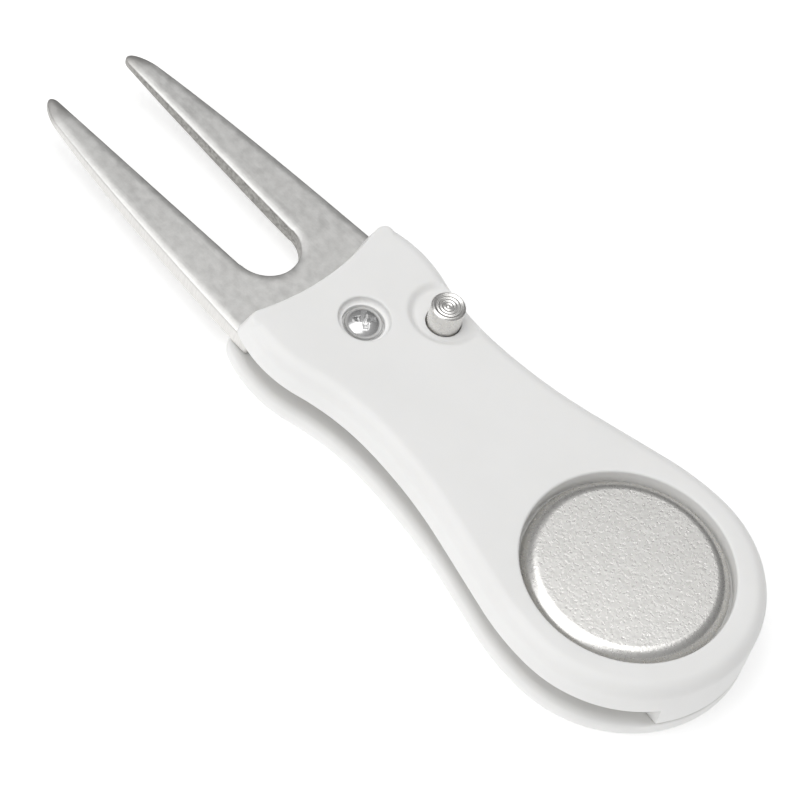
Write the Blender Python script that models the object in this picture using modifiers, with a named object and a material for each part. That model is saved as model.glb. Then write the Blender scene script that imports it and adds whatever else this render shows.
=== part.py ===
"""Folding divot repair tool: a two-tine steel fork that swings out of a moulded handle.

Frame: the origin is on the back face, on the handle's centreline, level with the pivot.
+X points to the fork's tips, +Y to the handle's open side and +Z out of the front face.
Plan sizes and heights below are in millimetres; MM turns them into metres.
"""

import math

import bmesh
import bpy

MM = 0.001

# Heights above the back face, and the front rim's radii: it eases from the large one to the
# small one as the rim turns from facing sideways (EASE_FROM) to facing the tips (EASE_TO)
BACK_TOP = 3.1
WALL_FOOT = 3.2
FORK_BOTTOM = 3.35
FORK_TOP = 5.75
FRONT_BOTTOM = 6.0
FRONT_TOP = 10.5
FRONT_FILLET = 2.0
FRONT_MOUTH_FILLET = 0.4
EASE_FROM = 0.4
EASE_TO = 0.95
BACK_FILLET = 1.5
BACK_INNER_FILLET = 0.6

# Handle outline: the tail's circle, a flare, a straight taper, a waist in two arcs,
# a rounded shoulder, the mouth's corner and a hollow mouth. The back shell reaches
# further at the mouth and is fuller at the waist than the front shell, whose mouth leans
# outwards going down by MOUTH_LEAN per unit of height.
TAIL_X = -44.15
TAIL_R = 16.5
FLARE_R = 32.0
WAIST_X = -10.78
WAIST_SHORT_R = 32.0
WAIST_BREAK = 1.5
SHOULDER_R = 17.0
FOOT_CORNER_R = 0.7
MOUTH_R = 35.0
MOUTH_LEAN = 0.3
FRONT_PLAN = {
    "mouth_x": 7.2, "rise": 17.0, "waist_half": 10.68, "waist_long_r": 62.0, "corner_r": 2.2,
}
BACK_PLAN = {
    "mouth_x": 9.9, "rise": 16.8, "waist_half": 11.1, "waist_long_r": 78.0, "corner_r": 2.2,
}

# Pivot: a shouldered stack of screw, sleeve, washers and a blind threaded insert
PIVOT_Y = 0.5
SCREW_HEAD_R = 2.3
SCREW_HEAD_BOTTOM = 8.9
SCREW_HEAD_TOP = 10.45
SCREW_R = 1.2
SCREW_FOOT = 1.3
SCREW_HOLE_R = 1.5
COUNTERBORE_R = 3.18
COUNTERBORE_LEDGE = 9.6
COUNTERBORE_INNER_R = 2.6
SLEEVE_BORE_R = 1.5
SLEEVE_R = 2.5
WASHER_BORE_R = 2.62
WASHER_R = 6.0
WASHER_THICK = 0.15
WASHER_GAP = 0.05
BACK_WASHER_R = 3.5
INSERT_R = 2.2
INSERT_BORE_R = 1.3
INSERT_BOTTOM = 0.9

# Torsion spring, in a ring-shaped pocket round the insert
COIL_R = 4.35
COIL_WIRE_R = 0.3
COIL_POCKET = (3.75, 4.95)
COIL_POCKET_FLOOR = 1.0
COIL_TURNS = 2
COIL_PITCH = 0.66
COIL_START = 60.0
COIL_FOOT_R = 6.2
COIL_LEG_TOP = 4.9
COIL_LEG_HOLE_R = 0.6

# Fork: the tines lie about a line just to the spine's side of the handle's own, curve in
# towards points and thin out along their underside. The open side's tine (1) is the longer.
FORK_BORE_R = 2.57
FORK_Y = -0.2
FORK_HALF = 11.6
FORK_ROOT_HALF = 11.2
FORK_SHOULDER_X = 8.0
FORK_TAPER = 0.066
FORK_SWEEP = 1.75e-5
FORK_INNER_HALF = 4.33
FORK_INNER_SLOPE = 0.038
CROTCH_X = 16.95
CROTCH_Y = -0.28
TIP_X = {1: 49.25, -1: 48.65}
TIP_HALF = 6.2
TIP_OUTER_RUN = 3.6
TIP_INNER_RUN = 1.0
UNDERSIDE = [(16.0, 3.24), (31.0, 3.65), (41.0, 4.1), (52.0, 4.9)]
TANG_R = 6.7
LUG_X = -2.2
LUG_Y = -10.9

# Release button: a turned pin, hollow from below, with a collar in the fork's layer
BUTTON_X = -5.8
BUTTON_Y = -7.3
BUTTON_R = 2.1
BUTTON_TOP = 13.1
BUTTON_HOLE_R = 2.2
COLLAR_R = 2.45
COLLAR_BOTTOM = 3.45
COLLAR_TOP = 5.7
COLLAR_CLEARANCE = 0.3
BUTTON_BORE_R = 1.45
BUTTON_BORE_TOP = 8.6
DISH_X = -5.3
DISH_Y = -8.0
DISH_R = 4.9
DISH_FLOOR_R = 3.7
DISH_FLOOR = 9.8
SPRING_POCKET_R = 2.9
SPRING_POCKET_FLOOR = 0.9
SPRING_R = 1.05
SPRING_WIRE_R = 0.16
SPRING_TURNS = 8

# Ball marker, its recess and the magnet below it
MARKER_X = -43.7
RECESS_R = 12.9
RECESS_FLOOR = 7.9
MARKER_R = 12.5
MARKER_FLAT_R = 10.6
MARKER_TOP = 10.2
MARKER_SIDE = 8.4
MARKER_BOTTOM = 7.95
MAGNET_R = 4.0
MAGNET_BOTTOM = 6.65
MAGNET_TOP = 7.85
MAGNET_POCKET_R = 4.1
MAGNET_POCKET_FLOOR = 6.55

# Tail screws, driven from the back into the front shell's tail block
TAIL_SCREW_X = -53.5
TAIL_SCREW_Y = 6.0
TAIL_HEAD_R = 1.9
TAIL_HEAD_BOTTOM = 0.3
TAIL_HEAD_TOP = 1.5
TAIL_SHANK_R = 0.95
TAIL_SHANK_TOP = 7.0
TAIL_COUNTERBORE_R = 2.1
TAIL_COUNTERBORE_TOP = 1.6
TAIL_PILOT_R = 1.05
TAIL_PILOT_TOP = 7.2

# Cavity that the fork folds into, seen from above
TIP_SWEEP_R = 50.1
CAVITY_TAIL_END = (-58.7, 8.8)
CAVITY_TAIL_BEND = (-51.0, 7.6)
REAR_WALL = [(-47.8, -7.4), (-40.1, -8.3), (-31.9, -9.3), (-16.8, -10.3)]
FRONT_WALL_X = (-3.2, 5.5)
FRONT_WALL_Y = -11.5
OUTSIDE = 20.0

PLASTIC = ("shell_plastic", (0.80, 0.80, 0.79), 0.45, 0.0)
STEEL = ("fork_steel", (0.55, 0.54, 0.53), 0.32, 1.0)
CHROME = ("bright_screw", (0.70, 0.69, 0.68), 0.12, 1.0)
TURNED = ("turned_button", (0.68, 0.67, 0.65), 0.22, 1.0)
NICKEL = ("pebbled_nickel", (0.66, 0.65, 0.63), 0.35, 1.0)
BRASS = ("insert_brass", (0.78, 0.57, 0.25), 0.30, 1.0)
NYLON = ("washer_nylon", (0.75, 0.74, 0.70), 0.50, 0.0)
SPRING = ("spring_wire", (0.45, 0.45, 0.46), 0.28, 1.0)
MAGNET = ("plated_magnet", (0.62, 0.62, 0.62), 0.18, 1.0)


def polar(centre, radius, degrees):
    """The point at an angle round a centre."""
    angle = math.radians(degrees)
    return centre[0] + radius * math.cos(angle), centre[1] + radius * math.sin(angle)


def arc(centre, radius, start, end, steps):
    """Points along an arc from start to end, in degrees, with both ends."""
    return [polar(centre, radius, start + (end - start) * i / steps) for i in range(steps + 1)]


def bearing(from_point, to_point):
    """The direction of one point from another, in degrees."""
    return math.degrees(math.atan2(to_point[1] - from_point[1], to_point[0] - from_point[0]))


def upper_crossing(centre_a, radius_a, centre_b, radius_b):
    """Where two circles cross, on the side with the larger Y."""
    dx = centre_b[0] - centre_a[0]
    dy = centre_b[1] - centre_a[1]
    apart = math.hypot(dx, dy)
    along = (apart**2 + radius_a**2 - radius_b**2) / (2 * apart)
    across = math.sqrt(radius_a**2 - along**2)
    options = []
    for side in (1, -1):
        x = centre_a[0] + (along * dx - side * across * dy) / apart
        y = centre_a[1] + (along * dy + side * across * dx) / apart
        options.append((x, y))
    return max(options, key=lambda point: point[1])


def tangent_slope(centre_a, radius_a, centre_b, radius_b):
    """Fall, in degrees, of the line that runs over circle A and under circle B."""
    apart = math.dist(centre_a, centre_b)
    swing = math.degrees(math.acos((radius_a + radius_b) / apart))
    return 90 - bearing(centre_a, centre_b) - swing


def handle_outline(mouth_x, rise, waist_half, waist_long_r, corner_r):
    """A shell's outline, counter-clockwise from the middle of the mouth.

    rise is how far, in degrees, the waist turns outwards before the shoulder.
    """
    short_centre = (WAIST_X, waist_half + WAIST_SHORT_R)
    step_out = waist_long_r - WAIST_SHORT_R
    long_centre = polar(short_centre, step_out, 90 - WAIST_BREAK)
    flare_centre = (TAIL_X, TAIL_R - FLARE_R)
    taper = tangent_slope(flare_centre, FLARE_R, long_centre, waist_long_r)
    shoulder_start = polar(short_centre, WAIST_SHORT_R, 270 + rise)
    shoulder_centre = polar(shoulder_start, SHOULDER_R, rise - 90)
    mouth_centre = (mouth_x + MOUTH_R, 0.0)
    corner_centre = upper_crossing(
        shoulder_centre, SHOULDER_R - corner_r, mouth_centre, MOUTH_R + corner_r
    )
    shoulder_end = bearing(shoulder_centre, corner_centre)
    corner_end = bearing(corner_centre, mouth_centre)
    mouth_start = bearing(mouth_centre, corner_centre)

    side = arc(mouth_centre, MOUTH_R, 180, mouth_start, 5)[:-1]
    side += arc(corner_centre, corner_r, corner_end, shoulder_end, 5)[:-1]
    side += arc(shoulder_centre, SHOULDER_R, shoulder_end, 90 + rise, 5)[:-1]
    side += arc(short_centre, WAIST_SHORT_R, 270 + rise, 270 - WAIST_BREAK, 4)[:-1]
    side += arc(long_centre, waist_long_r, 270 - WAIST_BREAK, 270 - taper, 4)
    side += arc(flare_centre, FLARE_R, 90 - taper, 90, 4)[:-1]
    side += arc((TAIL_X, 0.0), TAIL_R, 90, 180, 14)
    other = [(x, -y) for x, y in reversed(side[1:-1])]
    return side + other


def fork_outer(x):
    """Half-width of the fork's outer edge at X."""
    run = x - FORK_SHOULDER_X
    return FORK_HALF - FORK_TAPER * run - FORK_SWEEP * run**3


def fork_inner(x):
    """Half-width of the gap between the tines at X."""
    return FORK_INNER_HALF + FORK_INNER_SLOPE * (x - CROTCH_X)


def tine(side):
    """One tine's edge, from its outer root round the tip to the crotch."""
    end = TIP_X[side]
    round_start = end - TIP_OUTER_RUN
    reach = [FORK_SHOULDER_X + (round_start - FORK_SHOULDER_X) * i / 6 for i in range(7)]
    edge = [(x, fork_outer(x)) for x in reach]
    for degrees in (22.5, 45.0, 67.5, 90.0):
        angle = math.radians(degrees)
        x = round_start + TIP_OUTER_RUN * math.sin(angle)
        edge.append((x, TIP_HALF + (fork_outer(x) - TIP_HALF) * math.cos(angle)))
    for degrees in (60.0, 30.0, 0.0):
        angle = math.radians(degrees)
        x = end - TIP_INNER_RUN * (1 - math.sin(angle))
        edge.append((x, TIP_HALF - (TIP_HALF - fork_inner(x)) * math.cos(angle)))
    edge.append((CROTCH_X, fork_inner(CROTCH_X)))
    return [(x, FORK_Y + side * y) for x, y in edge]


def fork_outline():
    """The fork's outline, counter-clockwise from the spine side's shoulder."""
    pivot = (0.0, PIVOT_Y)
    folded_collar = (-BUTTON_X, 2 * PIVOT_Y - BUTTON_Y)
    notch_r = COLLAR_R + COLLAR_CLEARANCE
    crotch = arc((CROTCH_X, CROTCH_Y), FORK_INNER_HALF, 270, 90, 12)[1:-1]
    points = tine(-1) + crotch + list(reversed(tine(1)))
    points += [(7.7, FORK_ROOT_HALF + 0.05)]
    points += arc(folded_collar, notch_r, 50, -112, 9)
    points += arc(pivot, TANG_R, 50, 245, 20)
    points += [(-2.6, BUTTON_Y), (-2.9, -9.0), (-2.75, -10.3), (LUG_X, LUG_Y)]
    points += [(-1.4, -FORK_ROOT_HALF), (6.2, -FORK_ROOT_HALF)]
    return points


def cavity_outline():
    """Everything between the shells that isn't wall, running out past the open sides."""
    sweep = arc((0.0, PIVOT_Y), TIP_SWEEP_R, 173, 189, 6)
    points = [(OUTSIDE, OUTSIDE), (CAVITY_TAIL_END[0], OUTSIDE)]
    points += [CAVITY_TAIL_END, CAVITY_TAIL_BEND] + sweep + REAR_WALL
    points += [(REAR_WALL[-1][0], -OUTSIDE), (FRONT_WALL_X[0], -OUTSIDE)]
    points += [(FRONT_WALL_X[0], FRONT_WALL_Y), (FRONT_WALL_X[1], FRONT_WALL_Y)]
    points += [(FRONT_WALL_X[1], -OUTSIDE), (OUTSIDE, -OUTSIDE)]
    return points


def clear_scene():
    for thing in list(bpy.data.objects):
        bpy.data.objects.remove(thing, do_unlink=True)


def new_collection(name):
    collection = bpy.data.collections.new(name)
    bpy.context.scene.collection.children.link(collection)
    return collection


def new_material(spec):
    name, colour, roughness, metallic = spec
    found = bpy.data.materials.get(name)
    if found:
        return found
    material = bpy.data.materials.new(name)
    material.use_nodes = True
    shader = material.node_tree.nodes["Principled BSDF"]
    shader.inputs["Base Color"].default_value = (*colour, 1.0)
    shader.inputs["Roughness"].default_value = roughness
    shader.inputs["Metallic"].default_value = metallic
    return material


def add_object(name, mesh, spec=None, place=(0.0, 0.0, 0.0)):
    """Put a mesh in the scene: a part where it has a material, otherwise a cutter."""
    thing = bpy.data.objects.new(name, mesh)
    thing.location = [value * MM for value in place]
    if spec:
        mesh.materials.append(new_material(spec))
        mesh.shade_smooth()
        mesh.set_sharp_from_angle(angle=math.radians(30))
        PARTS.objects.link(thing)
    else:
        thing.hide_render = True
        thing.display_type = "WIRE"
        CUTTERS.objects.link(thing)
    return thing


def outward(points):
    """Outward direction at each point of a counter-clockwise outline."""
    directions = []
    for i, (x, y) in enumerate(points):
        after = points[(i + 1) % len(points)]
        before = points[i - 1]
        run = math.dist(before, after)
        directions.append(((after[1] - before[1]) / run, (before[0] - after[0]) / run))
    return directions


def rim(points, fillets, height, sign, steps=4):
    """Rings of a rounded rim, from its level face to the side wall."""
    rings = []
    for i in range(steps + 1):
        angle = math.radians(90 * i / steps)
        ring = []
        for (x, y), (nx, ny), fillet in zip(points, outward(points), fillets):
            inset = fillet * (1 - math.sin(angle))
            drop = sign * fillet * (1 - math.cos(angle))
            ring.append((x - nx * inset, y - ny * inset, height - drop))
        rings.append(ring)
    return rings


def lean(ring, head, foot, bottom, top):
    """Shift a ring's points from the upper outline towards the lower one by height."""
    leaned = []
    for (x, y, z), (head_x, head_y), (foot_x, foot_y) in zip(ring, head, foot):
        share = (top - z) / (top - bottom)
        leaned.append((x + share * (foot_x - head_x), y + share * (foot_y - head_y), z))
    return leaned


def slab(points, bottom, top, top_fillets=None, bottom_fillets=None, foot=None):
    """A bmesh of an outline raised between two heights, with rounded rims if asked.

    foot is the outline at the bottom, where it isn't the same as at the top; the leaned
    sides aren't flat, so they are split into triangles.
    """
    rings = [[(x, y, bottom) for x, y in points]]
    if bottom_fillets:
        rings = rim(points, bottom_fillets, bottom, -1)
    if top_fillets:
        rings += reversed(rim(points, top_fillets, top, 1))
    else:
        rings.append([(x, y, top) for x, y in points])
    if foot:
        rings = [lean(ring, points, foot, bottom, top) for ring in rings]
    bm = bmesh.new()
    corners = [[bm.verts.new([value * MM for value in co]) for co in ring] for ring in rings]
    for low, high in zip(corners, corners[1:]):
        for i in range(len(low)):
            j = (i + 1) % len(low)
            bm.faces.new((low[i], low[j], high[j], high[i]))
    bm.faces.new(reversed(corners[0]))
    bm.faces.new(corners[-1])
    if foot:
        bmesh.ops.triangulate(bm, faces=[face for face in bm.faces if len(face.verts) == 4])
    return bm


def slab_mesh(name, *args, **kwargs):
    bm = slab(*args, **kwargs)
    mesh = bpy.data.meshes.new(name)
    bm.to_mesh(mesh)
    bm.free()
    return mesh


def turned(name, profile, steps, spec=None, place=(0.0, 0.0, 0.0)):
    """A solid of revolution: profile points are (radius, height), top to bottom outside."""
    bm = bmesh.new()
    verts = [bm.verts.new((radius * MM, 0.0, height * MM)) for radius, height in profile]
    pairs = zip(verts, verts[1:])
    if profile[0][0] and profile[-1][0]:
        pairs = zip(verts, verts[1:] + verts[:1])
    for first, second in pairs:
        bm.edges.new((first, second))
    mesh = bpy.data.meshes.new(name)
    bm.to_mesh(mesh)
    bm.free()
    thing = add_object(name, mesh, spec, place)
    screw = thing.modifiers.new("turn", "SCREW")
    screw.axis = "Z"
    screw.steps = steps
    screw.render_steps = steps
    screw.use_merge_vertices = True
    screw.merge_threshold = 1e-6
    screw.use_smooth_shade = True
    return thing


def bore(name, x, y, radius, bottom, top, steps=40):
    """A cylindrical cutter standing at a point."""
    profile = [(0.0, top), (radius, top), (radius, bottom), (0.0, bottom)]
    return turned(name, profile, steps, place=(x, y, 0.0))


def cut(target, *cutters):
    for cutter in cutters:
        boolean = target.modifiers.new(cutter.name, "BOOLEAN")
        boolean.operation = "DIFFERENCE"
        boolean.solver = "EXACT"
        boolean.object = cutter


def wire(name, points, radius, spec, place):
    """A wire of round section along points in millimetres."""
    curve = bpy.data.curves.new(name, "CURVE")
    curve.dimensions = "3D"
    curve.bevel_depth = radius * MM
    curve.bevel_resolution = 2
    curve.use_fill_caps = True
    spline = curve.splines.new("POLY")
    spline.points.add(len(points) - 1)
    for point, co in zip(spline.points, points):
        point.co = (*[value * MM for value in co], 1.0)
    curve.materials.append(new_material(spec))
    thing = bpy.data.objects.new(name, curve)
    thing.location = [value * MM for value in place]
    PARTS.objects.link(thing)
    return thing


def front_fillets(outline):
    """The front rim's radius at each point: small along the mouth, large elsewhere."""
    fillets = []
    for nx, _ in outward(outline):
        share = min(1.0, max(0.0, (nx - EASE_FROM) / (EASE_TO - EASE_FROM)))
        fillets.append(FRONT_FILLET + (FRONT_MOUTH_FILLET - FRONT_FILLET) * share)
    return fillets


def make_front_shell():
    """The front shell with its tail block and spine walls, down to the back shell."""
    outline = handle_outline(**FRONT_PLAN)
    foot_x = FRONT_PLAN["mouth_x"] + MOUTH_LEAN * (FRONT_TOP - WALL_FOOT)
    foot = handle_outline(**{**FRONT_PLAN, "mouth_x": foot_x, "corner_r": FOOT_CORNER_R})
    body = slab_mesh(
        "front_shell", outline, WALL_FOOT, FRONT_TOP, front_fillets(outline), foot=foot
    )
    shell = add_object("front_shell", body, PLASTIC)
    cavity = add_object(
        "cut_cavity", slab_mesh("cut_cavity", cavity_outline(), WALL_FOOT - 1, FRONT_BOTTOM)
    )
    over = FRONT_TOP + 1
    dish_slope = (DISH_R - DISH_FLOOR_R) / (FRONT_TOP - DISH_FLOOR)
    dish_top_r = DISH_FLOOR_R + dish_slope * (over - DISH_FLOOR)
    dish = turned(
        "cut_dish",
        [(0.0, over), (dish_top_r, over), (DISH_FLOOR_R, DISH_FLOOR), (0.0, DISH_FLOOR)],
        40, place=(DISH_X, DISH_Y, 0.0),
    )
    seat = SCREW_HEAD_BOTTOM - 0.1
    pivot_hole = turned(
        "cut_pivot_hole",
        [
            (0.0, over), (COUNTERBORE_R, over), (COUNTERBORE_R, COUNTERBORE_LEDGE),
            (COUNTERBORE_INNER_R, COUNTERBORE_LEDGE), (COUNTERBORE_INNER_R, seat),
            (SCREW_HOLE_R, seat), (SCREW_HOLE_R, WALL_FOOT), (0.0, WALL_FOOT),
        ],
        40, place=(0.0, PIVOT_Y, 0.0),
    )
    recess = turned(
        "cut_recess",
        [
            (0.0, over), (RECESS_R, over), (RECESS_R, RECESS_FLOOR),
            (MAGNET_POCKET_R, RECESS_FLOOR), (MAGNET_POCKET_R, MAGNET_POCKET_FLOOR),
            (0.0, MAGNET_POCKET_FLOOR),
        ],
        72, place=(MARKER_X, 0.0, 0.0),
    )
    button_hole = bore("cut_button_hole", BUTTON_X, BUTTON_Y, BUTTON_HOLE_R, WALL_FOOT, over)
    cut(shell, dish, button_hole, cavity, pivot_hole, recess)
    for side, label in ((1, "open"), (-1, "spine")):
        pilot = bore(
            "cut_pilot_" + label, TAIL_SCREW_X, side * TAIL_SCREW_Y,
            TAIL_PILOT_R, WALL_FOOT - 1, TAIL_PILOT_TOP, 16,
        )
        cut(shell, pilot)


def make_back_shell():
    """The back shell: a plate with pockets for the insert and both springs."""
    outline = handle_outline(**BACK_PLAN)
    body = slab_mesh(
        "back_shell", outline, 0.0, BACK_TOP,
        [BACK_INNER_FILLET] * len(outline), [BACK_FILLET] * len(outline),
    )
    shell = add_object("back_shell", body, PLASTIC)
    over = BACK_TOP + 1
    inner, outer = COIL_POCKET
    coil_pocket = turned(
        "cut_coil_pocket",
        [(inner, over), (outer, over), (outer, COIL_POCKET_FLOOR), (inner, COIL_POCKET_FLOOR)],
        40, place=(0, PIVOT_Y, 0),
    )
    foot = polar((0.0, PIVOT_Y), (outer + COIL_FOOT_R) / 2, COIL_START)
    slot = slab_mesh(
        "cut_coil_foot",
        [(-0.9, -0.5), (1.1, -0.5), (1.1, 0.5), (-0.9, 0.5)], COIL_POCKET_FLOOR, over,
    )
    foot_slot = add_object("cut_coil_foot", slot, place=(foot[0], foot[1], 0.0))
    foot_slot.rotation_euler[2] = math.radians(COIL_START)
    cut(
        shell,
        bore("cut_insert_pocket", 0, PIVOT_Y, INSERT_R + 0.1, INSERT_BOTTOM - 0.1, over),
        coil_pocket,
        foot_slot,
        bore("cut_spring_pocket", BUTTON_X, BUTTON_Y, SPRING_POCKET_R, SPRING_POCKET_FLOOR, over),
    )
    for side, label in ((1, "open"), (-1, "spine")):
        y = side * TAIL_SCREW_Y
        hole = bore("cut_tail_hole_" + label, TAIL_SCREW_X, y, TAIL_PILOT_R, -1, over, 16)
        seat = bore(
            "cut_tail_seat_" + label, TAIL_SCREW_X, y,
            TAIL_COUNTERBORE_R, -1, TAIL_COUNTERBORE_TOP, 24,
        )
        cut(shell, hole, seat)


def make_fork():
    """The stamped fork, with its origin on the pivot's axis."""
    points = [(x, y - PIVOT_Y) for x, y in fork_outline()]
    body = slab_mesh("fork", points, FORK_BOTTOM, FORK_TOP)
    fork = add_object("fork", body, STEEL, place=(0.0, PIVOT_Y, 0.0))
    leg = polar((0.0, PIVOT_Y), COIL_R, COIL_START)
    side = [(UNDERSIDE[0][0], BACK_TOP), (UNDERSIDE[-1][0], BACK_TOP)] + UNDERSIDE[::-1]
    wedge = slab_mesh("cut_underside", side, -OUTSIDE, OUTSIDE)
    underside = add_object("cut_underside", wedge)
    underside.rotation_euler[0] = math.radians(90)
    cut(
        fork,
        underside,
        bore("cut_fork_bore", 0, PIVOT_Y, FORK_BORE_R, FORK_BOTTOM - 1, FORK_TOP + 1),
        bore("cut_leg_hole", leg[0], leg[1], COIL_LEG_HOLE_R, FORK_BOTTOM - 1, FORK_TOP + 1, 12),
    )


def make_pivot():
    """The pivot screw, its sleeve, two washers and the insert it threads into."""
    place = (0.0, PIVOT_Y, 0.0)
    crown = SCREW_HEAD_TOP - SCREW_HEAD_BOTTOM
    head = []
    for i in range(6):
        angle = math.radians(90 - 15 * i)
        head.append((SCREW_HEAD_R * math.cos(angle), SCREW_HEAD_BOTTOM + crown * math.sin(angle)))
    head[0] = (0.0, SCREW_HEAD_TOP)
    shank = [(SCREW_HEAD_R, SCREW_HEAD_BOTTOM), (SCREW_R, SCREW_HEAD_BOTTOM)]
    shank += [(SCREW_R, SCREW_FOOT), (0.0, SCREW_FOOT)]
    screw = turned("pivot_screw", head + shank, 32, CHROME, place)
    for turn in (0, 1):
        arm = slab_mesh(
            "cut_cross_%d" % turn,
            [(-1.3, -0.25), (1.3, -0.25), (1.3, 0.25), (-1.3, 0.25)],
            SCREW_HEAD_TOP - 0.9, SCREW_HEAD_TOP + 1,
        )
        arm_cutter = add_object("cut_cross_%d" % turn, arm, place=place)
        arm_cutter.rotation_euler[2] = math.radians(90 * turn + 30)
        cut(screw, arm_cutter)

    sleeve_bottom = BACK_TOP + WASHER_GAP
    sleeve_top = FRONT_BOTTOM - WASHER_GAP
    ring("pivot_sleeve", SLEEVE_BORE_R, SLEEVE_R, sleeve_bottom, sleeve_top, STEEL, place)
    ring(
        "front_washer", WASHER_BORE_R, WASHER_R,
        sleeve_top - WASHER_THICK, sleeve_top, NYLON, place,
    )
    ring(
        "back_washer", WASHER_BORE_R, BACK_WASHER_R,
        sleeve_bottom, sleeve_bottom + WASHER_THICK, NYLON, place,
    )
    insert_top = BACK_TOP - 0.1
    ring("pivot_insert", INSERT_BORE_R, INSERT_R, INSERT_BOTTOM, insert_top, BRASS, place)


def ring(name, inner, outer, bottom, top, spec, place):
    profile = [(inner, top), (outer, top), (outer, bottom), (inner, bottom)]
    return turned(name, profile, 40, spec, place)


def make_torsion_spring():
    """Two turns of wire, with a foot out to the back shell and a leg up into the fork."""
    floor = COIL_POCKET_FLOOR + COIL_WIRE_R + 0.05
    steps = 20 * COIL_TURNS
    points = []
    for radius in (COIL_FOOT_R, 5.4, 4.8):
        points.append((*polar((0.0, 0.0), radius, COIL_START), floor))
    for i in range(1, steps + 1):
        x, y = polar((0.0, 0.0), COIL_R, COIL_START + 360 * COIL_TURNS * i / steps)
        points.append((x, y, floor + COIL_PITCH * COIL_TURNS * i / steps))
    x, y, z = points[-1]
    points += [(x, y, z + 0.5), (x, y, COIL_LEG_TOP)]
    wire("torsion_spring", points, COIL_WIRE_R, SPRING, (0.0, PIVOT_Y, 0.0))


def make_button():
    """The release button with its collar, and the spring inside it."""
    place = (BUTTON_X, BUTTON_Y, 0.0)
    profile = [
        (0.0, BUTTON_TOP), (BUTTON_R - 0.25, BUTTON_TOP), (BUTTON_R, BUTTON_TOP - 0.25),
        (BUTTON_R, COLLAR_TOP), (COLLAR_R, COLLAR_TOP), (COLLAR_R, COLLAR_BOTTOM),
        (BUTTON_BORE_R, COLLAR_BOTTOM), (BUTTON_BORE_R, BUTTON_BORE_TOP), (0.0, BUTTON_BORE_TOP),
    ]
    turned("release_button", profile, 36, TURNED, place)
    low = SPRING_POCKET_FLOOR + SPRING_WIRE_R + 0.05
    high = BUTTON_BORE_TOP - SPRING_WIRE_R - 0.05
    steps = 12 * SPRING_TURNS
    points = []
    for i in range(steps + 1):
        x, y = polar((0.0, 0.0), SPRING_R, 360 * SPRING_TURNS * i / steps)
        points.append((x, y, low + (high - low) * i / steps))
    wire("button_spring", points, SPRING_WIRE_R, SPRING, place)


def make_marker():
    """The ball marker and the magnet that holds it."""
    place = (MARKER_X, 0.0, 0.0)
    shoulder = []
    for i in range(6):
        angle = math.radians(90 - 18 * i)
        radius = MARKER_FLAT_R + (MARKER_R - MARKER_FLAT_R) * math.cos(angle)
        shoulder.append((radius, MARKER_SIDE + (MARKER_TOP - MARKER_SIDE) * math.sin(angle)))
    edge = [(MARKER_R, MARKER_BOTTOM + 0.2), (MARKER_R - 0.2, MARKER_BOTTOM)]
    profile = [(0.0, MARKER_TOP)] + shoulder + edge + [(0.0, MARKER_BOTTOM)]
    turned("ball_marker", profile, 72, NICKEL, place)
    bevel = 0.2
    profile = [
        (0.0, MAGNET_TOP), (MAGNET_R - bevel, MAGNET_TOP), (MAGNET_R, MAGNET_TOP - bevel),
        (MAGNET_R, MAGNET_BOTTOM), (0.0, MAGNET_BOTTOM),
    ]
    turned("magnet", profile, 40, MAGNET, place)


def make_tail_screws():
    """Two pan-head screws that hold the shells together at the tail."""
    profile = [
        (0.0, TAIL_SHANK_TOP), (TAIL_SHANK_R, TAIL_SHANK_TOP - 0.6), (TAIL_SHANK_R, TAIL_HEAD_TOP),
        (TAIL_HEAD_R, TAIL_HEAD_TOP), (TAIL_HEAD_R, TAIL_HEAD_BOTTOM + 0.5),
        (TAIL_HEAD_R - 0.5, TAIL_HEAD_BOTTOM), (0.0, TAIL_HEAD_BOTTOM),
    ]
    for side, label in ((1, "open"), (-1, "spine")):
        place = (TAIL_SCREW_X, side * TAIL_SCREW_Y, 0.0)
        turned("tail_screw_" + label, profile, 24, CHROME, place)


clear_scene()
PARTS = new_collection("divot_repair_tool")
CUTTERS = new_collection("cutters")
make_front_shell()
make_back_shell()
make_fork()
make_pivot()
make_torsion_spring()
make_button()
make_marker()
make_tail_screws()
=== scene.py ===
"""Looks of the folding divot repair tool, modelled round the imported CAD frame.

Lengths in the modelling functions are millimetres in the CAD frame; MM turns them into
metres when a mesh is made. Each visible CAD part gets a finer piece in the same place.
"""

import math

import bmesh
import bpy
import numpy as np
from mathutils import Matrix, Vector, noise
from mathutils.geometry import delaunay_2d_cdt


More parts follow.
